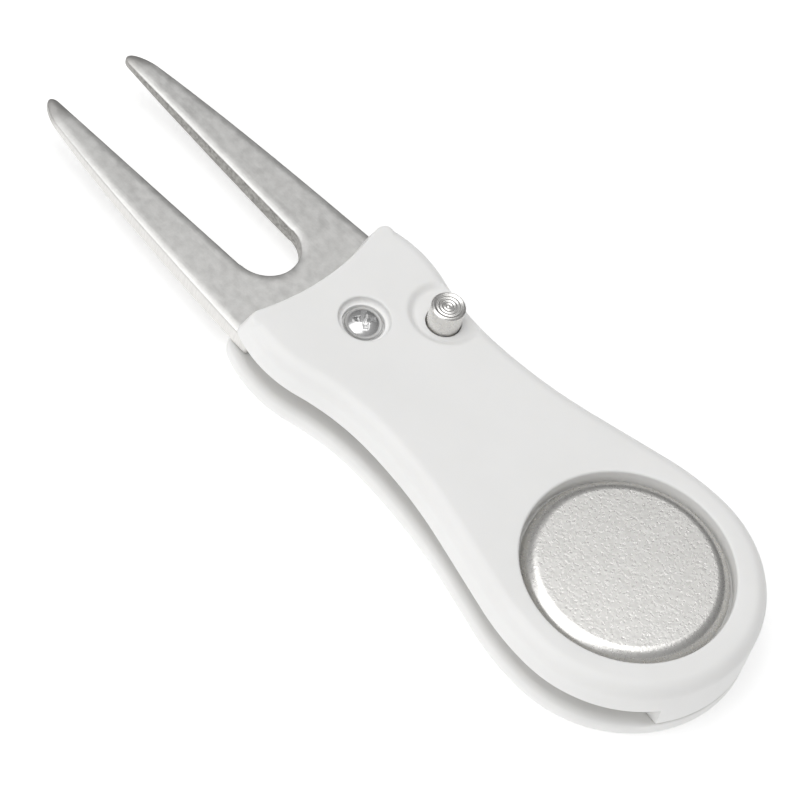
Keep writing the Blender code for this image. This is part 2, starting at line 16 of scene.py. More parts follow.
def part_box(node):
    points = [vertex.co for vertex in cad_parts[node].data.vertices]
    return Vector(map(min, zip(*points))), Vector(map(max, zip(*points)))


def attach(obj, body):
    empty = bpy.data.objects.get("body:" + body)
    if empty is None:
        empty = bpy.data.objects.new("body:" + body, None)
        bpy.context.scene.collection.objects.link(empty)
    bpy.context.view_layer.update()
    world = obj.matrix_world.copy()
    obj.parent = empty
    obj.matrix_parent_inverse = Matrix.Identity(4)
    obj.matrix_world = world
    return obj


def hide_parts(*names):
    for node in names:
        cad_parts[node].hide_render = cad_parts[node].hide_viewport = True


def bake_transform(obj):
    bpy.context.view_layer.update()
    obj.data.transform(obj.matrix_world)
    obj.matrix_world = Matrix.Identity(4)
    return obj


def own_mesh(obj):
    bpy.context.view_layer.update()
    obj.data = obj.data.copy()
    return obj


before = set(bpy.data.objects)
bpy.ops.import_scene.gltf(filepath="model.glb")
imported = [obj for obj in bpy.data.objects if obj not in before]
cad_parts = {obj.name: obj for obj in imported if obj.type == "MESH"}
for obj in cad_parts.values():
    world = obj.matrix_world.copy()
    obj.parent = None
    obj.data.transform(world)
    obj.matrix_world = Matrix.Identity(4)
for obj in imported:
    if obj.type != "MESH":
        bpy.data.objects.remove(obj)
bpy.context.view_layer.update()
MM = 0.001


def cad(node):
    """A CAD node's lowest and highest corners, in millimetres."""
    low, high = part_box(node)
    return np.array(low) / MM, np.array(high) / MM


FRONT_LOW, FRONT_HIGH = cad("front_shell")
FORK_LOW, FORK_HIGH = cad("fork")
SCREW_LOW, SCREW_HIGH = cad("pivot_screw")
BUTTON_LOW, BUTTON_HIGH = cad("release_button")
MARKER_LOW, MARKER_HIGH = cad("ball_marker")

# Heights and places that the frame gives, and the roof of the slot between the shells
FRONT_TOP = FRONT_HIGH[2]
WALL_FOOT = FRONT_LOW[2]
BACK_TOP = cad("back_shell")[1][2]
ROOF = 6.0
PIVOT = (SCREW_LOW + SCREW_HIGH)[:2] / 2
BUTTON = (BUTTON_LOW + BUTTON_HIGH)[:2] / 2
MARKER = (MARKER_LOW + MARKER_HIGH)[:2] / 2
TAIL_SCREWS = [sum(cad("tail_screw_" + side))[:2] / 2 for side in ("open", "spine")]

# Handle outline, as in the CAD: the tail's circle, a flare, a straight taper, a waist in
# two arcs, a shoulder, the mouth's corner and a hollow mouth that leans out going down
TAIL_R = FRONT_HIGH[1]
TAIL_X = FRONT_LOW[0] + TAIL_R
FLARE_R = 32.0
WAIST_X = -10.78
WAIST_SHORT_R = 32.0
WAIST_BREAK = 1.5
SHOULDER_R = 17.0
FOOT_CORNER_R = 0.7
MOUTH_R = 35.0
MOUTH_LEAN = 0.3
FRONT_PLAN = dict(mouth_x=7.2, rise=17.0, waist_half=10.68, waist_long_r=62.0, corner_r=2.2)
BACK_PLAN = dict(mouth_x=9.9, rise=16.8, waist_half=11.1, waist_long_r=78.0, corner_r=2.2)

# Shells: rim radii and where the front's eases by its outward X, then holes and pockets
FRONT_FILLET = 2.0
FRONT_MOUTH_FILLET = 0.4
EASE_FROM = 0.4
EASE_TO = 0.95
LOFT_TO = 36.0
LIP = 0.22
WALL_LIP = 0.05
BACK_FILLET = 1.5
INNER_FILLET_OPEN = 1.15
INNER_FILLET_SPINE = 0.55
INNER_FILLET_SHUT = 0.08
RECESS_R = 12.9
RECESS_LIP = 0.3
RECESS_FLOOR = 7.9
RECESS_FLOOR_BEVEL = 0.2
HOLE_LIP = 0.15
MAGNET_POCKET = (4.1, 6.55)
COUNTERBORE_R = 3.18
COUNTERBORE_LIP = 0.25
COUNTERBORE_HOLLOW = (0.45, 0.62)
COUNTERBORE_LEDGE = 9.6
SEAT_LIP = 0.08
HEAD_SEAT = (2.6, 8.8)
SCREW_HOLE_R = 1.5
DISH = (-5.3, -8.0)
DISH_RADII = (3.6, 5.0)
DISH_MARGIN = 0.3
DISH_FLOOR = 9.8
BUTTON_HOLE_R = 2.2
TAIL_HOLE_R = 1.05
TAIL_HOLE_TOP = 7.2
TAIL_SEAT = (2.1, 1.6)
REAR_WALL = [(-47.8, -7.4), (-40.1, -8.3), (-31.9, -9.3), (-16.8, -10.3)]
TIP_SWEEP_R = 50.1
CAVITY_TAIL = [(-58.7, 8.8), (-51.0, 7.6)]
FRONT_WALL_X = (-3.2, 5.5)
FRONT_WALL_Y = -11.5
INSERT_POCKET = (2.3, 0.8)
COIL_POCKET = (3.75, 4.95)
COIL_FLOOR = 1.0
COIL_START = 60.0
COIL_FOOT = 6.75
FOOT_SLOT_HALF = 0.5
SPRING_POCKET = (2.9, 0.9)

# Fork: outline, tapered underside, tang, and the dressing of its stamped edges
FORK_Y = -0.2
FORK_HALF = 11.6
FORK_ROOT_HALF = 11.2
FORK_SHOULDER_X = 8.0
FORK_TAPER = 0.066
FORK_SWEEP = 1.75e-5
FORK_INNER_HALF = 4.33
FORK_INNER_SLOPE = 0.038
CROTCH_X = 16.95
CROTCH_Y = -0.28
TIP_X = {1: 49.25, -1: 48.65}
TIP_HALF = 6.2
TIP_OUTER_RUN = 3.6
TIP_INNER_RUN = 1.0
UNDERSIDE = [(16.0, 3.24), (31.0, 3.65), (41.0, 4.1), (52.0, 4.9)]
TANG_R = 6.7
NOTCH_R = 2.75
FORK_CORNER_R = 0.45
FORK_BORE_R = 2.57
COIL_R = 4.35
LEG_HOLE_R = 0.6
COIN_WIDTH = 1.1
COIN_DROP = 0.13
EDGE_ROUND = 0.15

# Screws, button and marker
HEAD_R = 2.3
HEAD_BOTTOM = 8.9
SHANK_R = 1.2
TAIL_HEAD_R = 1.9
TAIL_HEAD_TALL = 1.2
TAIL_SHANK_R = 0.95
BUTTON_R = 2.1
BUTTON_FACE_R = 1.72
BUTTON_BORE = (1.45, 8.6)
COLLAR = (2.45, 5.7)
MARKER_R = 12.5
MARKER_FLAT_R = 10.6
MARKER_SIDE = 8.4
MARKER_GRID = 170
PEBBLE_SIZE = 0.34
PEBBLE_DEPTH = 0.008

# Springs
SPRING_R = 1.05
SPRING_WIRE_R = 0.16
SPRING_TURNS = 9.0
COIL_WIRE_R = 0.3
COIL_TURNS = 2
COIL_PITCH = 0.66
COIL_FOOT_RUN = (6.2, 4.9)
WIRE_SIDES = 14

# Camera and its aim, in millimetres, degrees and, for the lens, millimetres of focal length
VIEW_FROM = (-146.7, 239.36, 380.83)
VIEW_TARGET = (-9.1, 2.2, 5.5)
VIEW_ROLL = 18.75
LENS = 176.85


# ---------------------------------------------------------------- plan geometry

def polar(centre, radius, degrees):
    angle = math.radians(degrees)
    return centre[0] + radius * math.cos(angle), centre[1] + radius * math.sin(angle)


def circle(centre, radius, height, count=96):
    """A level ring of points, as an array of X, Y, Z rows."""
    angles = np.arange(count) * 2 * np.pi / count
    xs = centre[0] + radius * np.cos(angles)
    ys = centre[1] + radius * np.sin(angles)
    return np.column_stack((xs, ys, np.full(count, float(height))))


def arc_run(centre, radius, start, end, bulge, count):
    """Rows of point and outward normal along an arc; bulge is -1 where the arc is hollow."""
    rows = []
    for i in range(count):
        angle = start + (end - start) * i / count
        x, y = polar(centre, radius, angle)
        nx, ny = polar((0.0, 0.0), bulge, angle)
        rows.append((x, y, nx, ny))
    return rows


def bearing(start, end):
    return math.degrees(math.atan2(end[1] - start[1], end[0] - start[0]))


def upper_crossing(centre_a, radius_a, centre_b, radius_b):
    """Where two circles cross, on the side with the larger Y."""
    a, b = np.array(centre_a), np.array(centre_b)
    apart = np.linalg.norm(b - a)
    along = (apart**2 + radius_a**2 - radius_b**2) / (2 * apart)
    across = math.sqrt(radius_a**2 - along**2)
    ahead = (b - a) / apart
    left = np.array((-ahead[1], ahead[0]))
    options = [a + along * ahead + side * across * left for side in (1, -1)]
    return tuple(max(options, key=lambda point: point[1]))


def tangent_slope(centre_a, radius_a, centre_b, radius_b):
    """Fall, in degrees, of the line that runs over circle A and under circle B."""
    swing = math.degrees(math.acos((radius_a + radius_b) / math.dist(centre_a, centre_b)))
    return 90 - bearing(centre_a, centre_b) - swing


def handle_outline(mouth_x, rise, waist_half, waist_long_r, corner_r):
    """Rows of X, Y and outward normal round a shell, from the mouth's middle by +Y.

    rise is how far, in degrees, the waist turns outwards before the shoulder. Every
    outline has the same number of rows, so they can be lofted to each other.
    """
    short = (WAIST_X, waist_half + WAIST_SHORT_R)
    long = polar(short, waist_long_r - WAIST_SHORT_R, 90 - WAIST_BREAK)
    shoulder = polar(polar(short, WAIST_SHORT_R, 270 + rise), SHOULDER_R, rise - 90)
    mouth = (mouth_x + MOUTH_R, 0.0)
    corner = upper_crossing(shoulder, SHOULDER_R - corner_r, mouth, MOUTH_R + corner_r)
    flare = (TAIL_X, TAIL_R - FLARE_R)
    taper = tangent_slope(flare, FLARE_R, long, waist_long_r)
    rows = arc_run(mouth, MOUTH_R, 180, bearing(mouth, corner), -1, 22)
    rows += arc_run(corner, corner_r, bearing(corner, mouth) % 360 - 360,
                    bearing(shoulder, corner), 1, 12)
    rows += arc_run(shoulder, SHOULDER_R, bearing(shoulder, corner), 90 + rise, 1, 20)
    rows += arc_run(short, WAIST_SHORT_R, 270 + rise, 270 - WAIST_BREAK, -1, 20)
    rows += arc_run(long, waist_long_r, 270 - WAIST_BREAK, 270 - taper, -1, 28)
    start = np.array(polar(long, waist_long_r, 270 - taper))
    end = np.array(polar(flare, FLARE_R, 90 - taper))
    normal = polar((0.0, 0.0), 1.0, 90 - taper)
    for i in range(20):
        rows.append((*(start + (end - start) * i / 20), *normal))
    rows += arc_run(flare, FLARE_R, 90 - taper, 90, 1, 16)
    rows += arc_run((TAIL_X, 0.0), TAIL_R, 90, 180, 1, 50)
    rows.append((TAIL_X - TAIL_R, 0.0, -1.0, 0.0))
    other = [(x, -y, nx, -ny) for x, y, nx, ny in reversed(rows[1:-1])]
    return np.array(rows + other)


def soften(corners, radius, step=0.35):
    """Round a closed run of corners with arcs and spread points along its edges."""
    count = len(corners)
    rounded = []
    for i in range(count):
        before, here, after = (np.array(corners[(i + k) % count]) for k in (-1, 0, 1))
        back = (before - here) / np.linalg.norm(before - here)
        ahead = (after - here) / np.linalg.norm(after - here)
        turn = math.pi - math.acos(max(-1.0, min(1.0, float(back @ ahead))))
        if turn < math.radians(12):
            rounded.append([here])
            continue
        room = 0.45 * min(np.linalg.norm(before - here), np.linalg.norm(after - here))
        set_back = min(radius * math.tan(turn / 2), room)
        start, end = here + back * set_back, here + ahead * set_back
        steps = max(3, round(math.degrees(turn) / 8))
        arc = []
        for k in range(steps + 1):
            t = k / steps
            arc.append((1 - t) ** 2 * start + 2 * t * (1 - t) * here + t**2 * end)
        rounded.append(arc)
    flat = [point for group in rounded for point in group]
    points = []
    for first, second in zip(flat, flat[1:] + flat[:1]):
        pieces = max(1, round(np.linalg.norm(second - first) / step))
        points += [first + (second - first) * k / pieces for k in range(pieces)]
    return np.array(points)


def outward(points):
    """Outward normals of a counter-clockwise loop."""
    along = np.roll(points, -1, 0) - np.roll(points, 1, 0)
    along /= np.linalg.norm(along, axis=1)[:, None]
    return np.column_stack((along[:, 1], -along[:, 0]))


def inside(points, loop):
    """Which points lie inside a closed loop."""
    x, y = points[:, 0, None], points[:, 1, None]
    a, b = loop[:, :2], np.roll(loop[:, :2], -1, 0)
    rise = b[:, 1] - a[:, 1]
    rise = np.where(np.abs(rise) < 1e-12, 1e-12, rise)
    level = (a[:, 1] > y) != (b[:, 1] > y)
    reach = a[:, 0] + (y - a[:, 1]) * (b[:, 0] - a[:, 0]) / rise
    return (level & (x < reach)).sum(1) % 2 == 1


def distance(points, loops):
    """Each point's distance to the nearest edge of any loop."""
    best = np.full(len(points), 1e9)
    for loop in loops:
        a = loop[:, :2]
        run = np.roll(a, -1, 0) - a
        square = np.maximum((run**2).sum(1), 1e-12)
        for first in range(0, len(points), 2000):
            some = points[first:first + 2000, None, :2] - a
            t = np.clip((some * run).sum(2) / square, 0, 1)
            apart = np.linalg.norm(some - t[..., None] * run, axis=2).min(1)
            best[first:first + 2000] = np.minimum(best[first:first + 2000], apart)
    return best


def hex_grid(low, high, step):
    """Points of an even triangular grid over a box."""
    rows = np.arange(low[1], high[1], step * math.sqrt(0.75))
    columns = np.arange(low[0], high[0], step)
    points = []
    for i, y in enumerate(rows):
        shift = step / 2 if i % 2 else 0.0
        points.append(np.column_stack((columns + shift, np.full(len(columns), y))))
    return np.concatenate(points)


# ---------------------------------------------------------------- mesh building

def quarter(first, last, count):
    """Pairs of inset and drop, as shares of the radius, round a quarter of an edge."""
    turns = np.radians(np.linspace(first, last, count))
    return list(zip(1 - np.cos(turns), 1 - np.sin(turns)))


def add_object(name, data):
    thing = bpy.data.objects.new(name, data)
    bpy.context.scene.collection.objects.link(thing)
    return thing


class Skin:
    """Gathers points and faces in millimetres, then welds them into one mesh."""

    def __init__(self):
        self.points = []
        self.faces = []

    def add(self, rows):
        first = len(self.points)
        self.points.extend(tuple(float(value) for value in row) for row in rows)
        return range(first, len(self.points))

    def loft(self, rings, closed=True):
        """Quads from each ring of points to the next."""
        ids = [self.add(ring) for ring in rings]
        for low, high in zip(ids, ids[1:]):
            count = len(low)
            for i in range(count if closed else count - 1):
                j = (i + 1) % count
                self.faces.append((low[i], low[j], high[j], high[i]))

    def cap(self, loops, grid=None, height=None, chains=()):
        """Fill between an outer loop and the holes in it.

        loops and chains hold X, Y, Z rows. grid holds extra X, Y points, whose heights
        come from height(points). Chains are runs of points whose edges are kept.
        """
        points = [tuple(row) for loop in loops for row in loop]
        edges = []
        first = 0
        for loop in loops:
            count = len(loop)
            edges += [(first + i, first + (i + 1) % count) for i in range(count)]
            first += count
        for chain in chains:
            fits = inside(chain, loops[0])
            for hole in loops[1:]:
                fits &= ~inside(chain, hole)
            fits &= distance(chain, loops) > 0.12
            places = {}
            for i in np.flatnonzero(fits):
                places[i] = len(points)
                points.append(tuple(chain[i]))
            count = len(chain)
            for i in places:
                if (i + 1) % count in places:
                    edges.append((places[i], places[(i + 1) % count]))
        if grid is not None and len(grid):
            points += [(x, y, z) for (x, y), z in zip(grid, height(grid))]
        flat = [Vector(point[:2]) for point in points]
        verts, _, faces, origins, _, _ = delaunay_2d_cdt(flat, edges, [], 0, 1e-7)
        heights = [points[source[0]][2] for source in origins]
        rows = np.array([(v.x, v.y, z) for v, z in zip(verts, heights)])
        middles = np.array([rows[list(face)].mean(0) for face in faces])
        keep = inside(middles, loops[0])
        for hole in loops[1:]:
            keep &= ~inside(middles, hole)
        ids = self.add(rows)
        self.faces += [tuple(ids[i] for i in faces[k]) for k in np.flatnonzero(keep)]

    def disc(self, centre, radius, height, count):
        """A flat round floor, as a fan of rings."""
        self.loft([circle(centre, radius * share, height, count)
                   for share in (1, 0.66, 0.33, 1e-5)])

    def mesh(self, name):
        bm = bmesh.new()
        verts = [bm.verts.new(np.array(point) * MM) for point in self.points]
        for face in self.faces:
            try:
                bm.faces.new([verts[i] for i in face])
            except ValueError:
                continue
        bmesh.ops.remove_doubles(bm, verts=bm.verts, dist=2e-7)
        bmesh.ops.dissolve_degenerate(bm, dist=1e-8, edges=bm.edges)
        loose = [vert for vert in bm.verts if not vert.link_faces]
        bmesh.ops.delete(bm, geom=loose, context="VERTS")
        bmesh.ops.recalc_face_normals(bm, faces=bm.faces)
        if bm.calc_volume(signed=True) < 0:
            bmesh.ops.reverse_faces(bm, faces=bm.faces)
        bad = sum(len(edge.link_faces) != 2 for edge in bm.edges)
        if bad:
            print("open edges:", name, bad)
        mesh = bpy.data.meshes.new(name)
        bm.to_mesh(mesh)
        bm.free()
        return mesh


def place(name, mesh, material, origin, body, node, slot, sharp=32):
    """Put a finished piece in the scene for a CAD node."""
    mesh.materials.append(material)
    mesh.shade_smooth()
    mesh.set_sharp_from_angle(angle=math.radians(sharp))
    piece = add_object(name, mesh)
    piece.location = Vector(origin) * MM
    bpy.context.view_layer.update()
    if body:
        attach(piece, body)
    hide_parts(node)
    return piece


def column(points, height):
    return np.column_stack((points[:, :2], np.broadcast_to(height, len(points))))


def ring_at(outline, inset, height):
    """The outline moved inwards, at a height that may differ from point to point."""
    inset = np.broadcast_to(inset, len(outline))[:, None]
    return column(outline[:, :2] - outline[:, 2:] * inset, height)


def rolled(radius, height, lip, steps=5):
    """Radius and height rows for a rounded edge from a level face into a hole."""
    return [(radius + lip * out, height - lip * down)
            for down, out in quarter(0, 90, steps + 1)]


def sink(skin, centre, profile, count=96, floor=True):
    """Loft a hole down a profile, with a floor if it is blind; gives its mouth's ring."""
    rings = [circle(centre, radius, height, count) for radius, height in profile]
    skin.loft(rings)
    if floor:
        skin.disc(centre, *profile[-1], count)
    return rings[0]


# ---------------------------------------------------------------- materials

class Recipe:
    """Builds one node material, with short calls for the nodes that recur."""

    def __init__(self, name, metallic=0.0):
        self.material = bpy.data.materials.new(name)
        self.material.use_nodes = True
        self.tree = self.material.node_tree
        self.shader = self.tree.nodes["Principled BSDF"]
        self.shader.inputs["Metallic"].default_value = metallic
        places = self.tree.nodes.new("ShaderNodeTexCoord")
        self.coords, self.normals = places.outputs["Object"], places.outputs["Normal"]

    def link(self, source, target):
        """Put a number, a vector, a colour or another node's output on a socket."""
        if isinstance(source, (int, float)):
            target.default_value = source
        elif isinstance(source, tuple):
            alpha = (1.0,) * (len(target.default_value) - len(source))
            target.default_value = source + alpha
        else:
            self.tree.links.new(source, target)

    def set(self, **values):
        """Feed the shader's own sockets, with _ for a space in a name."""
        for name, value in values.items():
            self.link(value, self.shader.inputs[name.replace("_", " ")])

    def math(self, operation, first, second=0.0):
        node = self.tree.nodes.new("ShaderNodeMath")
        node.operation = operation
        for socket, value in zip(node.inputs, (first, second)):
            self.link(value, socket)
        return node.outputs[0]

    def axes(self, vector):
        """A vector's X, Y and Z."""
        node = self.tree.nodes.new("ShaderNodeSeparateXYZ")
        self.link(vector, node.inputs[0])
        return node.outputs

    def grained(self, scale, turn=0.0):
        """Coordinates turned about Z by degrees and stretched, for grain with a direction."""
        node = self.tree.nodes.new("ShaderNodeMapping")
        node.inputs["Rotation"].default_value[2] = math.radians(turn)
        node.inputs["Scale"].default_value = scale
        self.link(self.coords, node.inputs["Vector"])
        return node.outputs[0]

    def noise(self, size, detail=2.0, roughness=0.5, vector=None):
        """Noise with features about size millimetres across, from 0 to 1."""
        node = self.tree.nodes.new("ShaderNodeTexNoise")
        for name, value in (("Scale", 1 / (size * MM)), ("Detail", detail),
                            ("Roughness", roughness),
                            ("Vector", self.coords if vector is None else vector)):
            self.link(value, node.inputs[name])
        return node.outputs["Fac"]

    def spread(self, value, low, high, start=0.0, end=1.0):
        """Maps a value from start..end to low..high, clamped."""
        node = self.tree.nodes.new("ShaderNodeMapRange")
        if start > end:
            low, high, start, end = high, low, end, start
        for name, amount in (("From Min", start), ("From Max", end), ("To Min", low),
                             ("To Max", high)):
            node.inputs[name].default_value = amount
        self.link(value, node.inputs["Value"])
        return node.outputs["Result"]

    def blend(self, share, first, second):
        """Mixes two colours."""
        node = self.tree.nodes.new("ShaderNodeMix")
        node.data_type = "RGBA"
        self.link(share, node.inputs["Factor"])
        self.link(first, node.inputs[6])
        self.link(second, node.inputs[7])
        return node.outputs[2]

    def tint(self, value, start, end, low, high):
        """A colour that goes from low to high as a value goes from start to end."""
        return self.blend(self.spread(value, 0, 1, start, end), low, high)

    def either(self, share, first, second):
        """The second value where share is 0, the first where it is 1, and between them."""
        rest = self.math("MULTIPLY", second, self.math("SUBTRACT", 1.0, share))
        return self.math("ADD", self.math("MULTIPLY", first, share), rest)

    def bump(self, height, depth, normal=None):
        """Bump whose full height is depth millimetres."""
        node = self.tree.nodes.new("ShaderNodeBump")
        node.inputs["Distance"].default_value = depth * MM
        self.link(height, node.inputs["Height"])
        if normal is not None:
            self.link(normal, node.inputs["Normal"])
        return node.outputs["Normal"]

    def apart_from(self, axis, value):
        """Distance along an axis of the object from a place in millimetres."""
        place = self.axes(self.coords)["XYZ".index(axis)]
        return self.math("ABSOLUTE", self.math("SUBTRACT", place, value * MM))

    def facing(self, axis):
        """The size of the surface normal's part along an axis, from 0 to 1."""
        return self.math("ABSOLUTE", self.axes(self.normals)["XYZ".index(axis)])


def white_plastic(name, shade_from=None):
    """Satin ABS with a fine moulded grain and faint flow marks; with shade_from, painted shade
    darkens it from that height up to the back shell's top face.
    """
    r = Recipe(name)
    cloud = r.noise(9.0, 3.0)
    colour = r.tint(cloud, 0.3, 0.7, (0.905, 0.903, 0.892), (0.93, 0.928, 0.918))
    if shade_from:
        # Painted shade: the colour darkens towards the back shell's inner face, where the slot
        # under the front shell lies in shadow.
        painted_shade = r.spread(r.apart_from("Z", BACK_TOP), 1.0, 0.0, 0.0, (BACK_TOP - shade_from) * MM)
        colour = r.blend(painted_shade, colour, (0.75, 0.745, 0.73))
    grain = r.noise(0.22, 3.0, 0.6)
    swell = r.noise(3.5, 2.0)
    rough = r.math("ADD", r.spread(r.noise(2.4, 4.0, 0.6), 0.40, 0.50, 0.3, 0.7),
                   r.spread(grain, -0.03, 0.03, 0.3, 0.7))
    normal = r.bump(grain, 0.006)
    normal = r.bump(swell, 0.02, normal)
    r.set(Base_Color=colour, Roughness=rough, Normal=normal, Specular_IOR_Level=0.45,
          IOR=1.5, Subsurface_Weight=0.12, Subsurface_Scale=0.0012,
          Subsurface_Radius=(1.0, 0.95, 0.85))
    return r.material


def fork_steel():
    """Stamped stainless sheet: tumbled faces with fine scratches, sheared streaky edges, and
    painted shade round the tine tips.
    """
    r = Recipe("tumbled_stainless", 1.0)
    flat = r.spread(r.facing("Z"), 0, 1, 0.25, 0.8)
    mottle = r.noise(1.1, 5.0, 0.65)
    cloud = r.noise(7.0, 3.0)
    shear = r.noise(0.7, 4.0, 0.7, r.grained((3.0, 3.0, 0.25)))
    tear = r.noise(0.5, 5.0, 0.7)
    face = r.tint(mottle, 0.35, 0.65, (0.64, 0.635, 0.62), (0.74, 0.735, 0.72))
    polished = r.tint(shear, 0.38, 0.62, (0.70, 0.69, 0.67), (0.80, 0.79, 0.77))
    torn = r.tint(tear, 0.35, 0.65, (0.22, 0.215, 0.205), (0.46, 0.45, 0.43))
    gap = r.spread(r.apart_from("Y", FORK_Y), 0, 1, 6.0 * MM, 5.8 * MM)
    colour = r.blend(flat, r.blend(gap, polished, torn), face)
    # Painted shade: the colour darkens round the tine tips, standing in for the shading of sloped
    # tip facets that are not modelled.
    ends = r.spread(r.apart_from("X", TIP_X[1]), 0.65, 0, 2.2 * MM, 3.8 * MM)
    colour = r.blend(ends, colour, (0.42, 0.41, 0.395))
    rough_face = r.math("ADD", r.spread(mottle, 0.36, 0.47, 0.3, 0.7),
                        r.spread(cloud, -0.04, 0.04, 0.3, 0.7))
    rough_edge = r.spread(shear, 0.38, 0.56, 0.35, 0.65)
    scratches = r.math("ADD", r.noise(0.9, 3.0, 0.6, r.grained((0.12, 3.2, 1.0), 12)),
                       r.noise(0.9, 3.0, 0.6, r.grained((0.16, 2.6, 1.0), -24)))
    normal = r.bump(r.math("MULTIPLY", scratches, flat), 0.006)
    normal = r.bump(mottle, 0.008, normal)
    normal = r.bump(r.math("MULTIPLY", shear, r.math("SUBTRACT", 1.0, flat)), 0.012, normal)
    r.set(Base_Color=colour, Roughness=r.either(flat, rough_face, rough_edge), Normal=normal)
    return r.material


def bright_chrome():
    """Plated screws: near-mirror with faint handling marks."""
    r = Recipe("bright_chrome", 1.0)
    marks = r.noise(0.5, 4.0, 0.6)
    tint = r.blend(r.noise(1.5, 2.0), (0.72, 0.72, 0.72), (0.82, 0.82, 0.82))
    r.set(Base_Color=tint, Roughness=r.spread(marks, 0.17, 0.27, 0.35, 0.65),
          Normal=r.bump(marks, 0.004))
    return r.material


def turned_nickel():
    """Lathe-turned satin nickel, with fine rings round the button's axis."""
    r = Recipe("turned_nickel", 1.0)
    x, y, z = r.axes(r.coords)
    radius = r.math("SQRT", r.math("ADD", r.math("MULTIPLY", x, x), r.math("MULTIPLY", y, y)))
    end = r.spread(r.facing("Z"), 0, 1, 0.3, 0.7)
    rings = r.math("SINE", r.math("MULTIPLY", radius, 2 * math.pi / (0.11 * MM)))
    pass_marks = r.math("SINE", r.math("MULTIPLY", z, 2 * math.pi / (0.14 * MM)))
    wear = r.noise(0.8, 4.0, 0.6)
    normal = r.bump(r.either(end, rings, pass_marks), 0.0012)
    r.set(Base_Color=r.blend(wear, (0.76, 0.75, 0.73), (0.88, 0.87, 0.85)),
          Roughness=r.spread(wear, 0.22, 0.34, 0.3, 0.7), Normal=r.bump(wear, 0.004, normal))
    return r.material


def pebbled_nickel():
    """Bead-blasted and plated marker, with a fine grit over the modelled pebbles."""
    r = Recipe("pebbled_nickel", 1.0)
    pit = r.noise(0.45, 2.0)
    tint = r.blend(r.noise(2.5, 3.0), (0.73, 0.72, 0.695), (0.80, 0.79, 0.77))
    grit = r.bump(r.noise(0.28, 3.0, 0.6), 0.016)
    r.set(Base_Color=tint, Roughness=r.spread(pit, 0.25, 0.33, 0.3, 0.7),
          Normal=r.bump(pit, 0.006, grit))
    return r.material


def plain_metal(name, dark, light, low, high, size=0.8):
    """A worn metal whose colour and roughness wander over the surface."""
    r = Recipe(name, 1.0)
    wear = r.noise(size, 4.0, 0.6)
    r.set(Base_Color=r.tint(wear, 0.35, 0.65, dark, light), Normal=r.bump(wear, 0.005),
          Roughness=r.spread(r.noise(size / 5), low, high, 0.3, 0.7))
    return r.material


def nylon():
    """Translucent off-white washers."""
    r = Recipe("natural_nylon")
    cloud = r.noise(1.5, 3.0)
    r.set(Base_Color=r.blend(cloud, (0.74, 0.72, 0.64), (0.82, 0.80, 0.74)),
          Roughness=r.spread(cloud, 0.4, 0.52, 0.3, 0.7), Normal=r.bump(r.noise(0.3), 0.004),
          Subsurface_Weight=0.2, Subsurface_Scale=0.0006)
    return r.material


PLASTIC = white_plastic("white_satin_plastic")
# The back shell's plastic, with painted shade on its inner face inside the slot.
INNER_PLASTIC = white_plastic("white_satin_plastic_painted_shade", 2.5)
FORK_STEEL = fork_steel()
CHROME = bright_chrome()
TURNED = turned_nickel()
NICKEL = pebbled_nickel()
SPRING_STEEL = plain_metal("spring_wire", (0.42, 0.41, 0.40), (0.60, 0.59, 0.57), 0.22, 0.34)
MAGNET_PLATE = plain_metal("magnet_plating", (0.50, 0.50, 0.49), (0.62, 0.62, 0.61), 0.18, 0.3,
                           1.5)
BRASS = plain_metal("insert_brass", (0.62, 0.42, 0.17), (0.75, 0.54, 0.25), 0.24, 0.36)
SLEEVE_STEEL = plain_metal("ground_steel", (0.50, 0.50, 0.49), (0.64, 0.63, 0.62), 0.2, 0.32)
NYLON = nylon()


# ---------------------------------------------------------------- the shells

FRONT = handle_outline(**FRONT_PLAN)
FOOT = handle_outline(**{**FRONT_PLAN, "corner_r": FOOT_CORNER_R, "mouth_x":
                         FRONT_PLAN["mouth_x"] + MOUTH_LEAN * (FRONT_TOP - WALL_FOOT)})
BACK = handle_outline(**BACK_PLAN)
CAVITY_SIDES = ((CAVITY_TAIL[0], (REAR_WALL[-1][0], -11.2)),
                ((FRONT_WALL_X[0], -12.0), (FRONT_WALL_X[1], -12.8)))


def wall_spans(outline):
    """Outline indices where the long wall and the short wall start and end."""
    spans = []
    for ends in CAVITY_SIDES:
        apart = [np.linalg.norm(outline[:, :2] - np.array(end), axis=1) for end in ends]
        spans.append(tuple(int(np.argmin(each)) for each in apart))
    return spans


FRONT_FILLETS = FRONT_FILLET + (FRONT_MOUTH_FILLET - FRONT_FILLET) * np.clip(
    (FRONT[:, 2] - EASE_FROM) / (EASE_TO - EASE_FROM), 0, 1)
WALL_STARTS, SHORT_WALL = wall_spans(FOOT)


def dish_height(points):
    """The front face's height with the soft-sided dish round the button."""
    apart = np.linalg.norm(points[:, :2] - np.array(DISH), axis=1)
    t = np.clip((apart - DISH_RADII[0]) / (DISH_RADII[1] - DISH_RADII[0]), 0, 1)
    rise = t * t * t * (t * (6 * t - 15) + 10)
    return DISH_FLOOR + (FRONT_TOP - DISH_FLOOR) * rise


def lean(ring, head=None, foot=None):
    """Shift a ring on the front shell's outline by the mouth's lean at each height."""
    head = FRONT if head is None else head
    foot = FOOT if foot is None else foot
    share = (FRONT_TOP - ring[:, 2]) / (FRONT_TOP - WALL_FOOT)
    return column(ring[:, :2] + share[:, None] * (foot - head)[:, :2], ring[:, 2])


